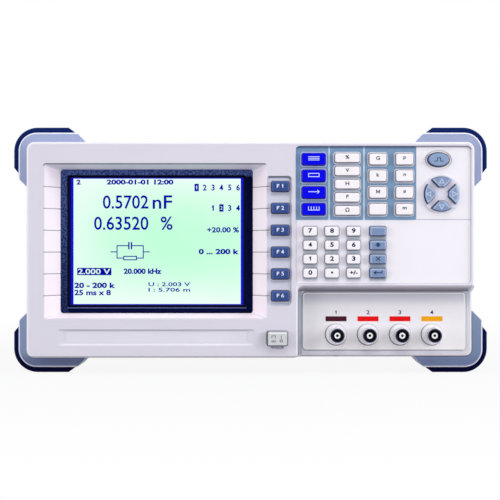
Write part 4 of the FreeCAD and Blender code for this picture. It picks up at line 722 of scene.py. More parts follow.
def column_edges(x, z, family):
    """How far a place on a key in a column is from its edges of painted shade, painted highlight and paler
    painted light.
    """
    low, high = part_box(family + "_1")
    pitch = low.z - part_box(family + "_2")[0].z
    left = x - (low.x + EAR)
    return left.smaller((z - low.z) % pitch), left.smaller((high.z - z) % pitch), high.x - EAR - x


def arrow_edges(x, z, _):
    """How far a place on an arrow key is from its edges of painted shade, painted highlight and paler
    painted light.
    """
    outer = 11.6 * MM
    half_band = 2.05 * MM
    tilt = math.sqrt(0.5)
    across, up, radius = from_cursor(x, z)
    arc = outer - radius
    slant = (across.size() - up.size()) * tilt - half_band
    upright_key = up.size() > across.size()
    right_key = across > 0.0
    left = upright_key.between(right_key.between(arc, slant), (up.size() + across) * tilt - half_band)
    right = upright_key.between(right_key.between(slant, arc), (up.size() - across) * tilt - half_band)
    return left, left, right


def edge_shades(shade, painted_shade_side, light, distances):
    """Painted light and shade along the edges of a key's face, from the distances to its edges of painted
    shade, painted highlight and paler painted light.
    """
    dark, bright, pale = distances
    shade = (pale.ramp(*PALE_PAINTED_LIGHT_BAND) * 0.7).mixed(shade, shaded(light, 1.2))
    shade = (bright.ramp(*BRIGHT_PAINTED_HIGHLIGHT_BAND) * 0.65).mixed(shade, light)
    return dark.ramp(*DARK_PAINTED_SHADE_BAND).mixed(shade, shaded(painted_shade_side, 0.8))


def key_finish(family, face, painted_shade_side, shine=0.2, drop=0.3 * MM, edges=None, light=None):
    """Moulded key with painted shade down its sides, from a drop below its face, and painted light and
    shade along the edges of its face when edges are given.
    """
    material, signal, shader = new_finish(family + "_plastic", shine)
    place, x, y, z = place_axes(signal)
    fine = noise(signal, place, 0.5, detail=3.0)
    slow = noise(signal, place, 20.0)
    fade = 1.0 * MM
    top = slow.mixed(shaded(face, 0.97), shaded(face, 1.03))
    if edges:
        top = edge_shades(top, painted_shade_side, light, edges(x, z, family))
    # Painted shade down the sides of the key
    y.ramp(KEY_TOP + drop, KEY_TOP + drop + fade).mixed(top, painted_shade_side).feed(shader.inputs["Base Color"])
    uneven_gloss(shader, 0.40, fine, slow)
    relief(signal, shader, fine, strength=0.08)
    return material


def button_finish():
    """Grey plastic with a painted shade line round its face, heaviest along the foot and the left, and a
    painted highlight along its top.
    """
    material, signal, shader = new_finish("power_button_grey", shine=0.4)
    place, x, _, z = place_axes(signal)
    low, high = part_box("power_button")
    fine = noise(signal, place, 0.5, detail=3.0)
    slow = noise(signal, place, 20.0)
    corner = 1.2 * MM
    heavy_band = (1.2 * MM, 0.6 * MM)
    line_band = (0.8 * MM, 0.4 * MM)
    top_band = 1.4 * MM
    depth = edge_depth(x, z, (low.x, high.x, low.z, high.z), corner)
    heavy_painted_shade = (z - low.z).ramp(*heavy_band).larger((x - low.x).ramp(*heavy_band))
    shade = slow.mixed(paint(208, 211, 214), paint(220, 223, 226))
    # Painted highlight along the top of the face
    shade = (z > high.z - top_band).mixed(shade, paint(250, 250, 255))
    # Painted shade round the face, heaviest along the foot and the left
    line = depth.ramp(*line_band) * heavy_painted_shade.between(0.6, 0.95)
    line.mixed(shade, paint(62, 64, 84)).feed(shader.inputs["Base Color"])
    uneven_gloss(shader, 0.36, fine, slow)
    relief(signal, shader, fine, strength=0.08)
    return material


SLOTS = {
    "front_panel": front_panel_finish(),
    "display_bezel": bezel_finish(),
    "lcd_module": plastic("module_frame_black", paint(20, 22, 34), roughness=0.45, shine=0.15),
    "key_mat": plastic("mat_grey_silicone", paint(176, 178, 182), roughness=0.6),
    "circuit_boards": board_finish(),
    "bnc_jacks": jack_finish(),
    "case_cover": sheet_paint("cover_pale_grey", paint(206, 206, 217)),
    "chassis": metal("zinc_plated_tray", paint(186, 188, 192), roughness=0.38),
    "rear_panel": sheet_paint("rear_grey", paint(192, 193, 204)),
    "corner_guards": guard_finish(),
    "bumpers": rubber_finish(),
    "power_supply": plastic("supply_dark_laminate", paint(70, 74, 62), roughness=0.5),
    "mains_inlet": inlet_finish(),
    "data_sockets": data_socket_finish(),
    "screws": metal("zinc_screws", paint(190, 190, 190), roughness=0.3),
    # For each key family: the colour of its face, then the painted shade down its sides
    "function_key": key_finish("function_key", paint(52, 74, 137), paint(40, 52, 100),
                               edges=column_edges, light=paint(84, 110, 168)),
    "mode_key": key_finish("mode_key", paint(2, 2, 240), paint(0, 0, 150), shine=0.1),
    "quantity_key": key_finish("quantity_key", KEY_WHITE, KEY_SIDE_PAINTED_SHADE, shine=0.4),
    "multiplier_key": key_finish("multiplier_key", KEY_WHITE, KEY_SIDE_PAINTED_SHADE, shine=0.4),
    "number_key": key_finish("number_key", KEY_WHITE, KEY_SIDE_PAINTED_SHADE, shine=0.4),
    "entry_key": key_finish("entry_key", paint(127, 149, 188), paint(74, 90, 132), shine=0.25,
                            edges=column_edges, light=KEY_LIGHT),
    "trigger_key": key_finish("trigger_key", paint(142, 165, 200), paint(34, 48, 92), drop=SLIVER),
    "arrow_key": key_finish("arrow_key", paint(132, 154, 192), paint(70, 86, 132), shine=0.25,
                            edges=arrow_edges, light=KEY_LIGHT),
    "power_button": button_finish(),
}


def dress_nodes():
    """Each solid from the frame gets its own finish."""
    for part in subparts:
        mesh = nodes[part["node"]].data
        mesh.materials.clear()
        mesh.materials.append(SLOTS[part["material_slot"]])


dress_nodes()


# Flat pieces: films, sheets and printed marks
def new_object(name, data):
    """A new object in the scene."""
    made = bpy.data.objects.new(name, data)
    bpy.context.scene.collection.objects.link(made)
    return made


def finished(name, mesh, material, body):
    """Makes a piece of a mesh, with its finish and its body."""
    mesh.name = name
    mesh.materials.clear()
    mesh.materials.append(material)
    piece = new_object(name, mesh)
    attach(piece, body)


def upright(y):
    """Stands a flat drawing upright, facing forward, with its middle at the plane y."""
    return Matrix.Translation((0, y, 0)) @ Matrix.Rotation(math.pi / 2, 4, "X")


def rounded_loop(zone, corner, steps=6):
    """Points round a rectangle (x0, x1, z0, z1) with round corners."""
    x0, x1, z0, z1 = zone
    turns = ((x1 - corner, z1 - corner, 0), (x0 + corner, z1 - corner, 90),
             (x0 + corner, z0 + corner, 180), (x1 - corner, z0 + corner, 270))
    points = []
    for x, z, start in turns:
        for step in range(steps + 1):
            angle = math.radians(start + 90 * step / steps)
            points.append((x + corner * math.cos(angle), z + corner * math.sin(angle)))
    return points


def oval_loop(x, z, width, height, steps=40):
    """Points round an oval, from its middle, width and height."""
    angles = [2 * math.pi * step / steps for step in range(steps)]
    return [(x + width / 2 * math.cos(angle), z + height / 2 * math.sin(angle)) for angle in angles]


def mesh_of(bm, name):
    """A mesh with the faces of a bmesh, which is then freed."""
    mesh = bpy.data.meshes.new(name)
    bm.to_mesh(mesh)
    bm.free()
    return mesh


def curve_to_mesh(drawing):
    """A mesh with the faces of a flat drawing."""
    holder = bpy.data.objects.new("drawing", drawing)
    mesh = bpy.data.meshes.new_from_object(holder)
    bpy.data.objects.remove(holder)
    return mesh


def flat_mesh(loops, thick):
    """A flat sheet with the first loop as its edge and the others as holes."""
    drawing = bpy.data.curves.new("drawing", "CURVE")
    drawing.dimensions = "2D"
    drawing.fill_mode = "BOTH"
    drawing.extrude = thick / 2
    for loop in loops:
        spline = drawing.splines.new("POLY")
        spline.points.add(len(loop) - 1)
        spline.use_cyclic_u = True
        for point, (x, z) in zip(spline.points, loop):
            point.co = (x, z, 0, 1)
    return curve_to_mesh(drawing)


def film(name, loops, y, thick, material):
    """A thin sheet lying on the plane y."""
    mesh = flat_mesh(loops, thick)
    mesh.transform(upright(y - thick / 2))
    finished(name, mesh, material, INSTRUMENT)


def reach(mesh):
    """Left, right, low and high limits of a flat drawing."""
    xs = [vertex.co.x for vertex in mesh.vertices]
    zs = [vertex.co.y for vertex in mesh.vertices]
    return min(xs), max(xs), min(zs), max(zs)


def letters(words, bold):
    """Characters one metre high, flat, with strokes thickened by a share of their height."""
    drawing = bpy.data.curves.new("words", "FONT")
    drawing.body = words
    drawing.resolution_u = 3
    drawing.offset = bold
    return curve_to_mesh(drawing)


def thickened(mesh):
    """Gives flat characters the thickness of the ink."""
    bm = bmesh.new()
    bm.from_mesh(mesh)
    made = bmesh.ops.extrude_face_region(bm, geom=bm.faces[:])
    lifted = [item for item in made["geom"] if isinstance(item, bmesh.types.BMVert)]
    bmesh.ops.translate(bm, vec=(0, 0, INK), verts=lifted)
    bm.to_mesh(mesh)
    bm.free()
    return mesh


def text_in(words, zone, bold):
    """Characters stretched to fill a rectangle (x0, x1, z0, z1)."""
    mesh = letters(words, bold)
    left, right, low, high = reach(mesh)
    wide = (zone[1] - zone[0]) / (right - left)
    tall = (zone[3] - zone[2]) / (high - low)
    mesh.transform(Matrix.Translation((-left, -low, 0)))
    mesh.transform(Matrix.Diagonal((wide, tall, 1, 1)))
    mesh.transform(Matrix.Translation((zone[0], zone[2], 0)))
    return thickened(mesh)


def text_mesh(words, height, squeeze, bold):
    """Characters of a given capital height, centred on the origin."""
    capital_share = 0.69
    mesh = letters(words, bold)
    scale = height / capital_share
    mesh.transform(Matrix.Diagonal((scale * squeeze, scale, 1, 1)))
    left, right, low, high = reach(mesh)
    mesh.transform(Matrix.Translation((-(left + right) / 2, -(low + high) / 2, 0)))
    return thickened(mesh)


def stroke_mesh(strokes, width):
    """Straight strokes of one width, as thin bars whose tops differ a little so that none coincide."""
    heights = 7
    height_step = 0.05
    bm = bmesh.new()
    for index, ((x0, z0), (x1, z1)) in enumerate(strokes):
        run = Vector((x1 - x0, z1 - z0, 0))
        thick = INK * (1 + index % heights * height_step)
        turn = Matrix.Rotation(math.atan2(run.y, run.x), 4, "Z")
        middle = Matrix.Translation(((x0 + x1) / 2, (z0 + z1) / 2, thick / 2))
        shape = Matrix.Diagonal((run.length + width, width, thick, 1))
        bmesh.ops.create_cube(bm, size=1, matrix=middle @ turn @ shape)
    return mesh_of(bm, "strokes")


def chain(points, closed=False):
    """Strokes along a row of points."""
    ends = points[1:] + points[:1] if closed else points[1:]
    return list(zip(points, ends))


STROKE_SIGNS = {"1": [[(-0.4, 0.5), (0.1, 1), (0.1, -1)]],
                "4": [[(0.4, -1), (0.4, 1), (-0.8, -0.4), (0.8, -0.4)]],
                "F": [[(-0.6, -1), (-0.6, 1), (0.8, 1)], [(-0.6, 0), (0.5, 0)]],
                "M": [[(-1.3, -1), (-1.3, 1), (0, -0.8), (1.3, 1), (1.3, -1)]],
                "µ": [[(-0.6, -1), (-0.6, 0.7)], [(-0.6, -0.5), (0.6, -0.5), (0.6, 0.7)]]}
STROKE_SHARE = 0.19
STROKE_SIGN_WIDTH = 0.75


def sign_mesh(sign, height, squeeze, bold):
    """A single character of a given height, centred on the origin."""
    if sign not in STROKE_SIGNS:
        return text_mesh(sign, height, squeeze, bold)
    width = height * (STROKE_SHARE + 2 * bold)
    half = (height - width) / 2
    wide = half * squeeze * STROKE_SIGN_WIDTH
    strokes = []
    for points in STROKE_SIGNS[sign]:
        strokes += chain([(x * wide, z * half) for x, z in points])
    return stroke_mesh(strokes, width)


def joined_mesh(meshes):
    """One mesh made of several."""
    bm = bmesh.new()
    for mesh in meshes:
        bm.from_mesh(mesh)
        bpy.data.meshes.remove(mesh)
    return mesh_of(bm, "marks")


# Legends
INK_WHITE = ink("ink_white", paint(226, 236, 255))
INK_NAVY = ink("ink_navy", paint(18, 26, 74), shine=0.1)
INK_DARK = ink("ink_dark", paint(52, 48, 70), shine=0.1)
INK_SLATE = ink("ink_slate", paint(34, 58, 112), shine=0.1)
INK_PALE = ink("ink_pale", paint(206, 216, 238))
FUNCTION_SIGN = 2.5 * MM
NUMBER_SIGN = 2.8 * MM
UNIT_SIGN = 2.4 * MM


def key_mark(name, mesh, material, shift=0.0):
    """A printed mark on a key, raised above its middle by a shift, which moves with it."""
    x, z = key_middle(name)
    mesh.transform(Matrix.Translation((x, z + shift, 0)))
    mesh.transform(upright(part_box(name)[0].y))
    finished(name + "_mark", mesh, material, name)


def function_key_marks():
    """An F and a number on each key beside the screen."""
    half_step = 1.6 * MM
    for index in range(1, 7):
        name = f"function_key_{index}"
        signs = [sign_mesh(sign, FUNCTION_SIGN, squeeze=1.2, bold=0.02) for sign in ("F", str(index))]
        for mesh, shift in zip(signs, (-half_step, half_step)):
            mesh.transform(Matrix.Translation((shift, 0, 0)))
        key_mark(name, joined_mesh(signs), INK_WHITE, shift=0.3 * MM)


def number_key_marks():
    """Digits, the decimal point and the sign."""
    shift = 0.4 * MM
    bold = 0.04
    dot_width = 1.5 * MM
    for digit in range(10):
        mesh = sign_mesh(str(digit), NUMBER_SIGN, squeeze=1.25, bold=bold)
        key_mark(f"number_key_{digit}", mesh, INK_NAVY, shift)
    dot = flat_mesh([oval_loop(0, 0, dot_width, dot_width, steps=20)], INK)
    key_mark("decimal_key", dot, INK_NAVY, shift)
    plus_minus = text_mesh("+/-", 2.5 * MM, squeeze=1.3, bold=bold)
    key_mark("sign_key", plus_minus, INK_NAVY, shift)


def unit_marks(family, signs, shift):
    """Unit letters on the keys of a family, from the key's number and its letter."""
    for index, letter in signs:
        mesh = sign_mesh(letter, UNIT_SIGN, squeeze=1.15, bold=0.025)
        key_mark(f"{family}_{index}", mesh, INK_DARK, shift)


def multiplier_key_marks():
    """Letters for large and small units. The fourth key is bare."""
    signs = ((1, "G"), (2, "k"), (3, "M"), (5, "p"), (6, "n"), (7, "µ"), (8, "m"))
    unit_marks("multiplier_key", signs, 0.7 * MM)


def quantity_key_marks():
    """Signs of what is measured."""
    unit_marks("quantity_key", ((1, "%"), (2, "V"), (3, "H"), (4, "F"), (5, "Ω")), 0.5 * MM)


def mode_key_marks():
    """Plain signs: a list, a box, an arrow and a scale."""
    wide = 3.6 * MM
    step = 1.1 * MM
    line = 0.45 * MM
    list_sign = [((-wide, rise), (wide, rise)) for rise in (-step, 0, step)]
    box_sign = chain([(-wide, -step), (wide, -step), (wide, step), (-wide, step)], True)
    arrow_sign = [((-wide, 0), (wide, 0))]
    arrow_sign += chain([(wide - step, step), (wide, 0), (wide - step, -step)])
    scale_sign = [((-wide, -step), (wide, -step))]
    scale_sign += [((wide * share, -step), (wide * share, step)) for share in (-1, -0.5, 0, 0.5, 1)]
    for index, sign in enumerate((list_sign, box_sign, arrow_sign, scale_sign)):
        key_mark(f"mode_key_{index + 1}", stroke_mesh(sign, line), INK_WHITE, shift=0.5 * MM)


def entry_key_marks():
    """Plain signs: a hash, a cross and a return arrow. The top key is bare."""
    line = 0.6 * MM
    tall = 1.3 * MM
    half = 0.45 * MM
    wide = 2 * tall
    head = 0.8 * tall
    hash_sign = [((-tall, -half), (tall, -half)), ((-tall, half), (tall, half)),
                 ((-half, -tall), (-half, tall)), ((half, -tall), (half, tall))]
    cross_sign = [((-tall, -tall), (tall, tall)), ((-tall, tall), (tall, -tall))]
    return_sign = [((wide, tall), (wide, 0)), ((wide, 0), (-wide, 0)),
                   ((-wide, 0), (-tall, head)), ((-wide, 0), (-tall, -head))]
    for index, sign in ((2, hash_sign), (3, cross_sign), (4, return_sign)):
        key_mark(f"entry_key_{index}", stroke_mesh(sign, line), INK_SLATE, shift=0.3 * MM)


def trigger_mark():
    """A single pulse."""
    wide = 3.0 * MM
    step = 1.1 * MM
    line = 0.5 * MM
    pulse = chain([(-wide, -step), (-step, -step), (-step, step),
                   (step, step), (step, -step), (wide, -step)])
    key_mark("trigger_key", stroke_mesh(pulse, line), INK_SLATE)


def arrow_marks():
    """A hollow triangle on each arrow key, pointing outwards."""
    tall = 1.6 * MM
    foot = -0.7 * tall
    line = 0.45 * MM
    turns = {"arrow_up_key": 0, "arrow_left_key": 90, "arrow_down_key": 180, "arrow_right_key": 270}
    triangle = chain([(-tall, foot), (tall, foot), (0, tall)], True)
    for name, turn in turns.items():
        mesh = stroke_mesh(triangle, line)
        mesh.transform(Matrix.Rotation(math.radians(turn), 4, "Z"))
        key_mark(name, mesh, INK_PALE)


def power_marks():
    """On and off signs on the power button, each beside a plain picture of the button out and in."""
    line = 0.35 * MM
    left = -3.8 * MM
    right = -1.4 * MM
    rise = 1.3 * MM
    tall = 0.8 * MM
    sign_x = 2.6 * MM
    button_out = chain([(left, rise - tall), (left, rise + tall),
                        (right, rise + tall), (right, rise - tall)])
    button_in = chain([(left, -rise), (left, -rise - tall), (right, -rise - tall), (right, -rise)], True)
    on_sign = [((sign_x, rise - tall), (sign_x, rise + tall))]
    off_sign = chain(oval_loop(sign_x, -rise, 2 * tall, 2 * tall, steps=20), True)
    mesh = stroke_mesh(button_out + button_in + on_sign + off_sign, line)
    key_mark("power_button", mesh, INK_DARK)


# Printed films and thin rims of the keypad
HOLE_CORNER = 1.3 * MM


def key_hole(name, gap):
    """An outline round a key, a gap outside it."""
    low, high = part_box(name)
    zone = (low.x + EAR - gap, high.x - EAR + gap, low.z - gap, high.z + gap)
    return rounded_loop(zone, HOLE_CORNER + gap)


def film_finish(name, colour):
    """Printed film, darker in the shade of the top edge of the recess."""
    material, signal, shader = new_finish(name, shine=0.25)
    place, _, _, z = place_axes(signal)
    slow = noise(signal, place, 38.0)
    shade = slow.mixed(shaded(colour, 0.94), shaded(colour, 1.06))
    edge = z.ramp(KEYPAD[3] - 2.2 * MM, KEYPAD[3] - 0.7 * MM) * 0.7
    edge.mixed(shade, paint(62, 76, 116)).feed(shader.inputs["Base Color"])
    rough(shader, slow, 0.38, 0.48)
    return material


def keypad_films():
    """A pale blue film over the upper keypad, with three slate-blue panels printed on it."""
    margin = 0.1 * MM
    left = KEYPAD[0] + margin
    top = KEYPAD[3] - margin
    slate_gap = FILM_GAP + 0.15 * MM
    columns = ((left, 53.0 * MM, [f"mode_key_{index}" for index in range(1, 5)]),
               (54.2 * MM, 76.7 * MM, [f"quantity_key_{index}" for index in range(1, 6)]),
               (78.0 * MM, ZONE_RIGHT, [f"multiplier_key_{index}" for index in range(1, 9)]))
    loops = [rounded_loop((left, ZONE_RIGHT, ZONE_LINE, top), 0.8 * MM)]
    loops += [key_hole(name, FILM_GAP) for _, _, names in columns for name in names]
    pale = film_finish("film_pale_blue", paint(204, 220, 236))
    film("keypad_pale_film", loops, KEY_FLOOR, FILM, pale)
    slate = film_finish("film_slate_blue", paint(126, 158, 192))
    for index, (x0, x1, names) in enumerate(columns):
        loops = [rounded_loop((x0, x1, ZONE_LINE, top), 0.9 * MM)]
        loops += [key_hole(name, slate_gap) for name in names]
        film(f"keypad_slate_panel_{index + 1}", loops, KEY_FLOOR - FILM, FILM, slate)


def gap_skirt_finish():
    """Pale plastic, shaded below the keys as the floor is."""
    material, signal, shader = new_finish("skirt_pale_and_shaded")
    place, x, _, z = place_axes(signal)
    slow = noise(signal, place, 38.0)
    pale = slow.mixed(paint(234, 232, 242), paint(246, 244, 254))
    gap_shades(x, z, pale).feed(shader.inputs["Base Color"])
    rough(shader, slow, 0.36, 0.46)
    return material


def key_skirts():
    """Thin pale rims round the keys, over the gaps in the panel."""
    outer_gap = 0.8 * MM
    inner_gap = 0.22 * MM
    pale = rim_plastic("skirt_pale", paint(240, 238, 248))
    grey = rim_plastic("skirt_grey", paint(232, 230, 246))
    blue = rim_plastic("skirt_blue", paint(204, 216, 250))
    gap_pale = gap_skirt_finish()
    shades = {"function_key": grey, "mode_key": blue, "quantity_key": pale, "multiplier_key": pale,
              "number_key": gap_pale, "entry_key": gap_pale}
    for family, shade in shades.items():
        names = [part["node"] for part in subparts if part["material_slot"] == family]
        loops = [key_hole(name, gap) for name in names for gap in (outer_gap, inner_gap)]
        film(family + "_skirts", loops, KEY_FLOOR, FILM, shade)


def arrow_hole(turn):
    """An outline round one arrow key: a stretch of a ring between two bands."""
    outer = 12.05 * MM
    inner = 4.55 * MM
    half_band = 1.6 * MM
    steps = 12
    points = []
    for radius, sides in ((outer, (-1, 1)), (inner, (1, -1))):
        half = math.pi / 4 - math.asin(half_band / radius)
        for step in range(steps + 1):
            angle = turn + half * (sides[0] + (sides[1] - sides[0]) * step / steps)
            points.append((CURSOR[0] + radius * math.cos(angle), CURSOR[1] + radius * math.sin(angle)))
    return points


def surround_finish():
    """White plastic, with painted shade greyer between the arrow keys."""
    material, signal, shader = new_finish("surround_white")
    place, x, _, z = place_axes(signal)
    slow = noise(signal, place, 12.0)
    radius = from_cursor(x, z)[2]
    # Painted shade on the webs between the arrow keys
    webs_painted_shade = radius.ramp(2.0 * MM, 6.5 * MM) * radius.ramp(12.0 * MM, 9.5 * MM)
    white = slow.mixed(paint(232, 230, 248), paint(240, 238, 254))
    webs_painted_shade.mixed(white, paint(216, 210, 228)).feed(shader.inputs["Base Color"])
    rough(shader, slow, 0.36, 0.46)
    return material


def arrow_surround():
    """White plate in the dish, with a hole for each arrow key."""
    width = 25.8 * MM
    thick = 1.6 * MM
    back = KEY_FLOOR + 0.5 * MM
    loops = [oval_loop(*CURSOR, width, width, steps=64)]
    loops += [arrow_hole(index * math.pi / 2) for index in range(4)]
    film("arrow_surround", loops, back, thick, surround_finish())


def trigger_collar():
    """White collar round the trigger key, a little wider below it."""
    x, z = key_middle("trigger_key")
    outer = oval_loop(x, z - 0.3 * MM, 16.9 * MM, 12.6 * MM)
    inner = oval_loop(x, z, 15.7 * MM, 10.5 * MM)
    white = rim_plastic("collar_white", KEY_WHITE)
    film("trigger_collar", [outer, inner], KEY_FLOOR, SHEET, white)


# Jack plate and the strip below the screen
def plate_finish():
    """Silver lacquer with a fine fleck, painted shade towards its top, a painted highlight and a painted
    shade line round its edge, and a painted shadow at each jack.
    """
    material, signal, shader = new_finish("jack_plate_silver")
    place, x, _, z = place_axes(signal)
    fleck = noise(signal, place, 0.25, detail=4.0)
    _, right, low, high = PLATE_SHEET
    line_width = 0.75 * MM
    ring_radius = JACK_COLLAR + 0.55 * MM
    fade = 6 * MM
    # Painted shade: darker towards the top, most under the pocket's upper wall
    body = z.ramp(low, high).mixed(paint(255, 252, 254), paint(242, 239, 246))
    body = z.ramp(high - 10 * MM, high - 4 * MM).mixed(body, paint(216, 216, 227))
    shade = (fleck * 0.05).mixed(body, paint(160, 164, 176))
    depth = edge_depth(x, z, PLATE_SHEET, PLATE_CORNER)
    # Painted highlight line just inside the edge
    shade = depth.within(0.7 * MM, 1.4 * MM).mixed(shade, paint(255, 255, 255))
    line_share = x.ramp(right - 1.5 * MM, right - 3.0 * MM).between(0.1, 0.65)
    # Painted shade line round the edge, weaker towards the right
    shade = (depth.within(0.0, line_width) * line_share).mixed(shade, paint(70, 74, 110))
    off = x.folded(JACK_X[0], JACK_PITCH)
    up = z - JACK_Z
    row = x.within(JACK_X[0] - JACK_PITCH / 2, JACK_X[-1] + JACK_PITCH / 2)
    # Painted shadow ring round each jack's collar, heaviest at its lower left
    painted_shadow_ring = (off.away(up) < ring_radius) * row
    lower_left = (off + up).ramp(fade, -fade).between(0.15, 0.85)
    (painted_shadow_ring * lower_left).mixed(shade, paint(46, 48, 92)).feed(shader.inputs["Base Color"])
    rough(shader, fleck, 0.3, 0.5)
    return material


def jack_plate():
    """Silver sheet round the jacks, with a colour bar and a number to each."""
    half_bar = 7.25 * MM
    bar_foot = BASE + 24.3 * MM
    bar_top = BASE + 27.75 * MM
    number_z = BASE + 30.5 * MM
    front = PLATE - SHEET
    loops = [rounded_loop(PLATE_SHEET, PLATE_CORNER)]
    loops += [oval_loop(x, JACK_Z, 2 * JACK_COLLAR, 2 * JACK_COLLAR) for x in JACK_X]
    film("jack_plate_sheet", loops, PLATE, SHEET, plate_finish())
    shades = (paint(70, 12, 32), paint(238, 12, 16), paint(238, 12, 16), paint(248, 170, 14))
    for index, (x, shade) in enumerate(zip(JACK_X, shades)):
        bar = rounded_loop((x - half_bar, x + half_bar, bar_foot, bar_top), 0.2 * MM)
        bar_ink = plastic(f"bar_ink_{index + 1}", shade, roughness=0.45, grain=0.3, depth=0.03, shine=0.15)
        film(f"jack_colour_bar_{index + 1}", [bar], front, INK, bar_ink)
        mesh = sign_mesh(str(index + 1), 2.6 * MM, squeeze=1.2, bold=0.02)
        mesh.transform(Matrix.Translation((x, number_z, 0)))
        mesh.transform(upright(front))
        finished(f"jack_number_{index + 1}", mesh, INK_NAVY, INSTRUMENT)


def nameplate():
    """The bare strip in its shallow recess below the screen."""
    thick = 0.15 * MM
    pale = plastic("nameplate_pale", paint(231, 229, 241), roughness=0.35, grain=0.3, depth=0.03)
    film("bare_nameplate", [rounded_loop(NAMEPLATE, 0.5 * MM)], NAME_FLOOR, thick, pale)


# Screen: the rows of characters, with their places and the weights of their strokes
SCREEN_BLUE = lit_ink("screen_ink_blue", paint(6, 10, 168), strength=0.9)
SCREEN_WHITE = lit_ink("screen_ink_white", paint(226, 255, 240), strength=0.9)
SCREEN_ROWS = (
    ("2", area(-120.9, -118.0, 118.8, 122.4), 0.045),
    ("2000-01-01 12:00", area(-99.9, -53.5, 118.8, 122.4), 0.045),
    ("0.5702", area(-102.6, -70.9, 102.0, 111.4), 0.012),
    ("nF", area(-68.0, -54.4, 102.0, 111.4), 0.012),
    ("0.63520", area(-108.7, -70.9, 87.3, 96.7), 0.012),
    ("%", area(-62.4, -54.1, 87.3, 96.7), 0.012),
    ("+20.00 %", area(-30.2, -8.0, 85.5, 89.3), 0.035),
    ("0 ... 200 k", area(-36.0, -8.0, 70.4, 74.2), 0.045),
    ("20.000 kHz", area(-88.1, -61.9, 56.7, 60.6), 0.045),
    ("20 - 200 k", area(-122.4, -93.9, 46.9, 50.8), 0.045),
    ("25 ms x 8", area(-122.4, -97.0, 41.9, 45.8), 0.035),
    ("U : 2.003 V", area(-70.9, -41.9, 48.2, 51.0), 0.02),
    ("I : 5.706 m", area(-70.9, -41.9, 44.4, 47.2), 0.02),
)
CHOICE_X = (-37.4, -31.8, -26.0, -20.2, -14.4, -8.6)
UPPER_CHOICES = (114.9, 118.7)
LOWER_CHOICES = (100.7, 104.5)
LEVEL_BLOCK = area(-120.4, -96.6, 55.9, 61.0)
UPPER_BLOCK = area(-38.9, -35.9, 114.2, 119.4)
LOWER_BLOCK = area(-21.7, -18.7, 100.0, 105.2)
LEVEL_WORDS = area(-119.8, -97.4, 56.6, 60.4)


def choice(number, x, rise, share=1.0, bold=0.03):
    """A digit in one of the screen's rows of choices, at a share of its height."""
    low, high = rise
    mesh = sign_mesh(str(number), (high - low) * share * MM, squeeze=0.95, bold=bold)
    mesh.transform(Matrix.Translation((x * MM, BASE + (low + high) / 2 * MM, 0)))
    return mesh


def screen_block(zone):
    """A lit rectangle behind characters."""
    mesh = flat_mesh([rounded_loop(zone, 0.1 * MM, steps=2)], INK)
    mesh.transform(Matrix.Translation((0, 0, INK / 2)))
    return mesh


def screen_layer(name, meshes, material, level):
    """Characters or blocks on the glass, a level of ink in front of others."""
    mesh = joined_mesh(meshes)
    mesh.transform(upright(SCREEN - GLASS - level * INK))
    finished(name, mesh, material, INSTRUMENT)


def screen_circuit():
    """A capacitor and a resistor side by side, in the usual drawing signs."""
    left, right, bottom, top = area(-92.7, -74.5, 67.8, 76.4)
    middle = (left + right) / 2
    level = (top + bottom) / 2
    lead = 4.2 * MM
    half = 4.4 * MM
    plate = 2.0 * MM
    gap = 0.9 * MM
    thick = 1.2 * MM
    line = 0.7 * MM
    plate_line = 1.0 * MM
    body = chain([(middle - half, bottom - thick), (middle + half, bottom - thick),
                  (middle + half, bottom + thick), (middle - half, bottom + thick)], True)
    strokes = [((left - lead, level), (left, level)), ((right, level), (right + lead, level)),
               ((left, bottom), (left, top)), ((right, bottom), (right, top)),
               ((left, top), (middle - gap, top)), ((middle + gap, top), (right, top)),
               ((left, bottom), (middle - half, bottom)), ((middle + half, bottom), (right, bottom))]
    plates = [((middle - gap, top - plate), (middle - gap, top + plate)),
              ((middle + gap, top - plate), (middle + gap, top + plate))]
    return joined_mesh([stroke_mesh(strokes + body, line), stroke_mesh(plates, plate_line)])


def screen_pieces():
    """The lit glass, the blue characters on it, and white characters on blue blocks."""
    small = 0.66
    film("screen_glass", [rounded_loop(WINDOW, 0.4 * MM)], SCREEN, GLASS, screen_finish())
    rows = [text_in(words, zone, bold) for words, zone, bold in SCREEN_ROWS]
    rows += [choice(number, CHOICE_X[number - 1], UPPER_CHOICES) for number in range(2, 7)]
    rows += [choice(number, CHOICE_X[number + 1], LOWER_CHOICES) for number in (1, 3, 4)]
    screen_layer("screen_characters", rows + [screen_circuit()], SCREEN_BLUE, 0)
    blocks = [screen_block(zone) for zone in (LEVEL_BLOCK, UPPER_BLOCK, LOWER_BLOCK)]
    screen_layer("screen_highlights", blocks, SCREEN_BLUE, 0)
    words = [text_in("2.000 V", LEVEL_WORDS, bold=0.02),
             choice(1, CHOICE_X[0], UPPER_CHOICES, small, bold=0.0),
             choice(2, CHOICE_X[3], LOWER_CHOICES, small, bold=0.0)]
    screen_layer("screen_highlight_characters", words, SCREEN_WHITE, 1)


def screen_gasket():
    """Black lip between the bezel and the glass."""
    thick = 1.0 * MM
    loops = [rounded_loop(grown(WINDOW, -0.05 * MM), 0.8 * MM),
             rounded_loop(grown(WINDOW, -0.35 * MM), 0.3 * MM)]
    black = plastic("gasket_black", paint(4, 4, 24), roughness=0.5, shine=0.1)
    film("screen_gasket", loops, SCREEN - GLASS, thick, black)


# Contacts of the rear sockets
PIN_RADIUS = 0.5 * MM
PIN_TIP = 0.4 * MM
PIN_LENGTH = 4.2 * MM


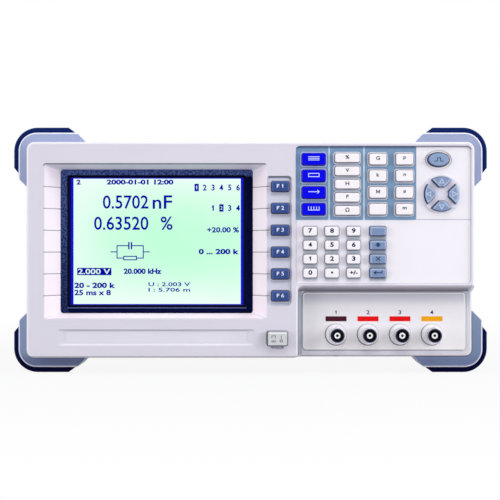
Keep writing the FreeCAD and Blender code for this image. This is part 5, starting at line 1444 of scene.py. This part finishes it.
def contact_pins(x, z, rows, pitch, row_step):
    """Rows of round pins standing back from a socket's floor."""
    bm = bmesh.new()
    for row, count in enumerate(rows):
        for index in range(count):
            across = x + (index - (count - 1) / 2) * pitch
            up = z + ((len(rows) - 1) / 2 - row) * row_step
            turn = Matrix.Rotation(math.pi / 2, 4, "X")
            middle = Matrix.Translation((across, SOCKET_FLOOR + PIN_LENGTH / 2, up))
            bmesh.ops.create_cone(bm, cap_ends=True, segments=12, radius1=PIN_RADIUS, radius2=PIN_TIP,
                                  depth=PIN_LENGTH, matrix=middle @ turn)
    return mesh_of(bm, "pins")


def socket_contacts(name, x, width, height, rows, pitch, row_step):
    """Dark contact block on the floor of a rear socket, with its pins."""
    low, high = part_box("data_sockets")
    z = (low.z + high.z) / 2
    zone = (x - width / 2, x + width / 2, z - height / 2, z + height / 2)
    mesh = flat_mesh([rounded_loop(zone, 1.2 * MM)], SHEET)
    mesh.transform(upright(SOCKET_FLOOR + SHEET / 2))
    black = plastic(name + "_black", paint(24, 24, 28), roughness=0.45)
    finished(name + "_block", mesh, black, INSTRUMENT)
    gold = metal(name + "_gold", paint(222, 190, 120), roughness=0.25)
    pins = contact_pins(x, z, rows, pitch, row_step)
    finished(name + "_pins", pins, gold, INSTRUMENT)


def rear_contacts():
    """Contacts of the two data sockets."""
    socket_contacts("serial_socket", 105 * MM, width=15.0 * MM, height=6.4 * MM,
                    rows=(5, 4), pitch=2.77 * MM, row_step=2.84 * MM)
    socket_contacts("bus_socket", 48 * MM, width=34.5 * MM, height=9.4 * MM,
                    rows=(12, 12), pitch=2.16 * MM, row_step=3.4 * MM)


function_key_marks()
number_key_marks()
multiplier_key_marks()
quantity_key_marks()
mode_key_marks()
entry_key_marks()
trigger_mark()
arrow_marks()
power_marks()
keypad_films()
key_skirts()
arrow_surround()
trigger_collar()
jack_plate()
nameplate()
screen_pieces()
screen_gasket()
rear_contacts()


# Stage, light and camera
WHITE = (1, 1, 1, 1)


def seen_or_mirrored(signal):
    """1 for rays from the camera, off a mirror or through glass."""
    seen = signal.node("LightPath", output="Is Camera Ray")
    glossy = signal.node("LightPath", output="Is Glossy Ray")
    through = signal.node("LightPath", output="Is Transmission Ray")
    return seen.larger(glossy).larger(through)


def white_floor():
    """A pale floor that keeps a faint shadow close to the object and is plain white further off."""
    half_width = 6.0
    shadow_end = 0.55
    shadow_start = 0.20
    bm = bmesh.new()
    bmesh.ops.create_grid(bm, x_segments=1, y_segments=1, size=half_width)
    mesh = mesh_of(bm, "floor")
    floor = new_object("floor", mesh)
    material, signal, shader = new_finish("floor_white", shine=0.0)
    _, x, y, _ = place_axes(signal)
    shader.inputs["Base Color"].default_value = paint(196, 196, 198)
    shader.inputs["Roughness"].default_value = 0.9
    tree = material.node_tree
    shadowed = Signal(tree, shader.outputs["BSDF"])
    glow = signal.node("Emission", {}, {"Color": WHITE, "Strength": 1.0})
    far = x.away(y).ramp(shadow_start, shadow_end)
    share = seen_or_mirrored(signal) * far.between(0.91, 1.0)
    surface = signal.node("MixShader", {}, {"Fac": share, 1: shadowed, 2: glow})
    surface.feed(tree.nodes["Material Output"].inputs["Surface"])
    mesh.materials.append(material)


def white_sky(level):
    """A plain white sky: full white where it is seen or mirrored, softer as a light."""
    world = bpy.data.worlds.new("sky")
    world.use_nodes = True
    bpy.context.scene.world = world
    background = world.node_tree.nodes["Background"]
    background.inputs["Color"].default_value = WHITE
    signal = Signal(world.node_tree)
    seen_or_mirrored(signal).between(level, 1.0).feed(background.inputs["Strength"])


def softbox(name, place, size, power):
    """A square lamp that faces the middle of the front."""
    front_middle = Vector((0, FACE, BASE + 73 * MM))
    light = bpy.data.lights.new(name, "AREA")
    light.size = size
    light.energy = power
    lamp = new_object(name, light)
    lamp.location = place
    lamp.rotation_mode = "QUATERNION"
    lamp.rotation_quaternion = (front_middle - Vector(place)).to_track_quat("-Z", "Y")


def square_camera():
    """Level camera, square to the front face."""
    distance = 850 * MM
    view_width = 340.3 * MM
    eye_x = -0.34 * MM
    eye_z = BASE + 73.4 * MM
    camera = bpy.data.cameras.new("camera")
    camera.sensor_width = 36.0
    camera.lens = camera.sensor_width * distance / view_width
    camera.clip_start = 0.01
    holder = new_object("camera", camera)
    holder.location = (eye_x, FACE - distance, eye_z)
    holder.rotation_euler = (math.pi / 2, 0, 0)
    bpy.context.scene.camera = holder


white_floor()
white_sky(0.22)
softbox("right_light", (1.45, -0.85, 0.50), size=1.1, power=17)
softbox("left_light", (-1.45, -0.85, 0.45), size=1.1, power=13)
softbox("top_light", (0.10, -0.75, 1.60), size=1.3, power=14)
softbox("back_light", (0.40, 1.70, 0.90), size=1.3, power=14)
square_camera()
bpy.context.scene.view_settings.view_transform = "Standard"
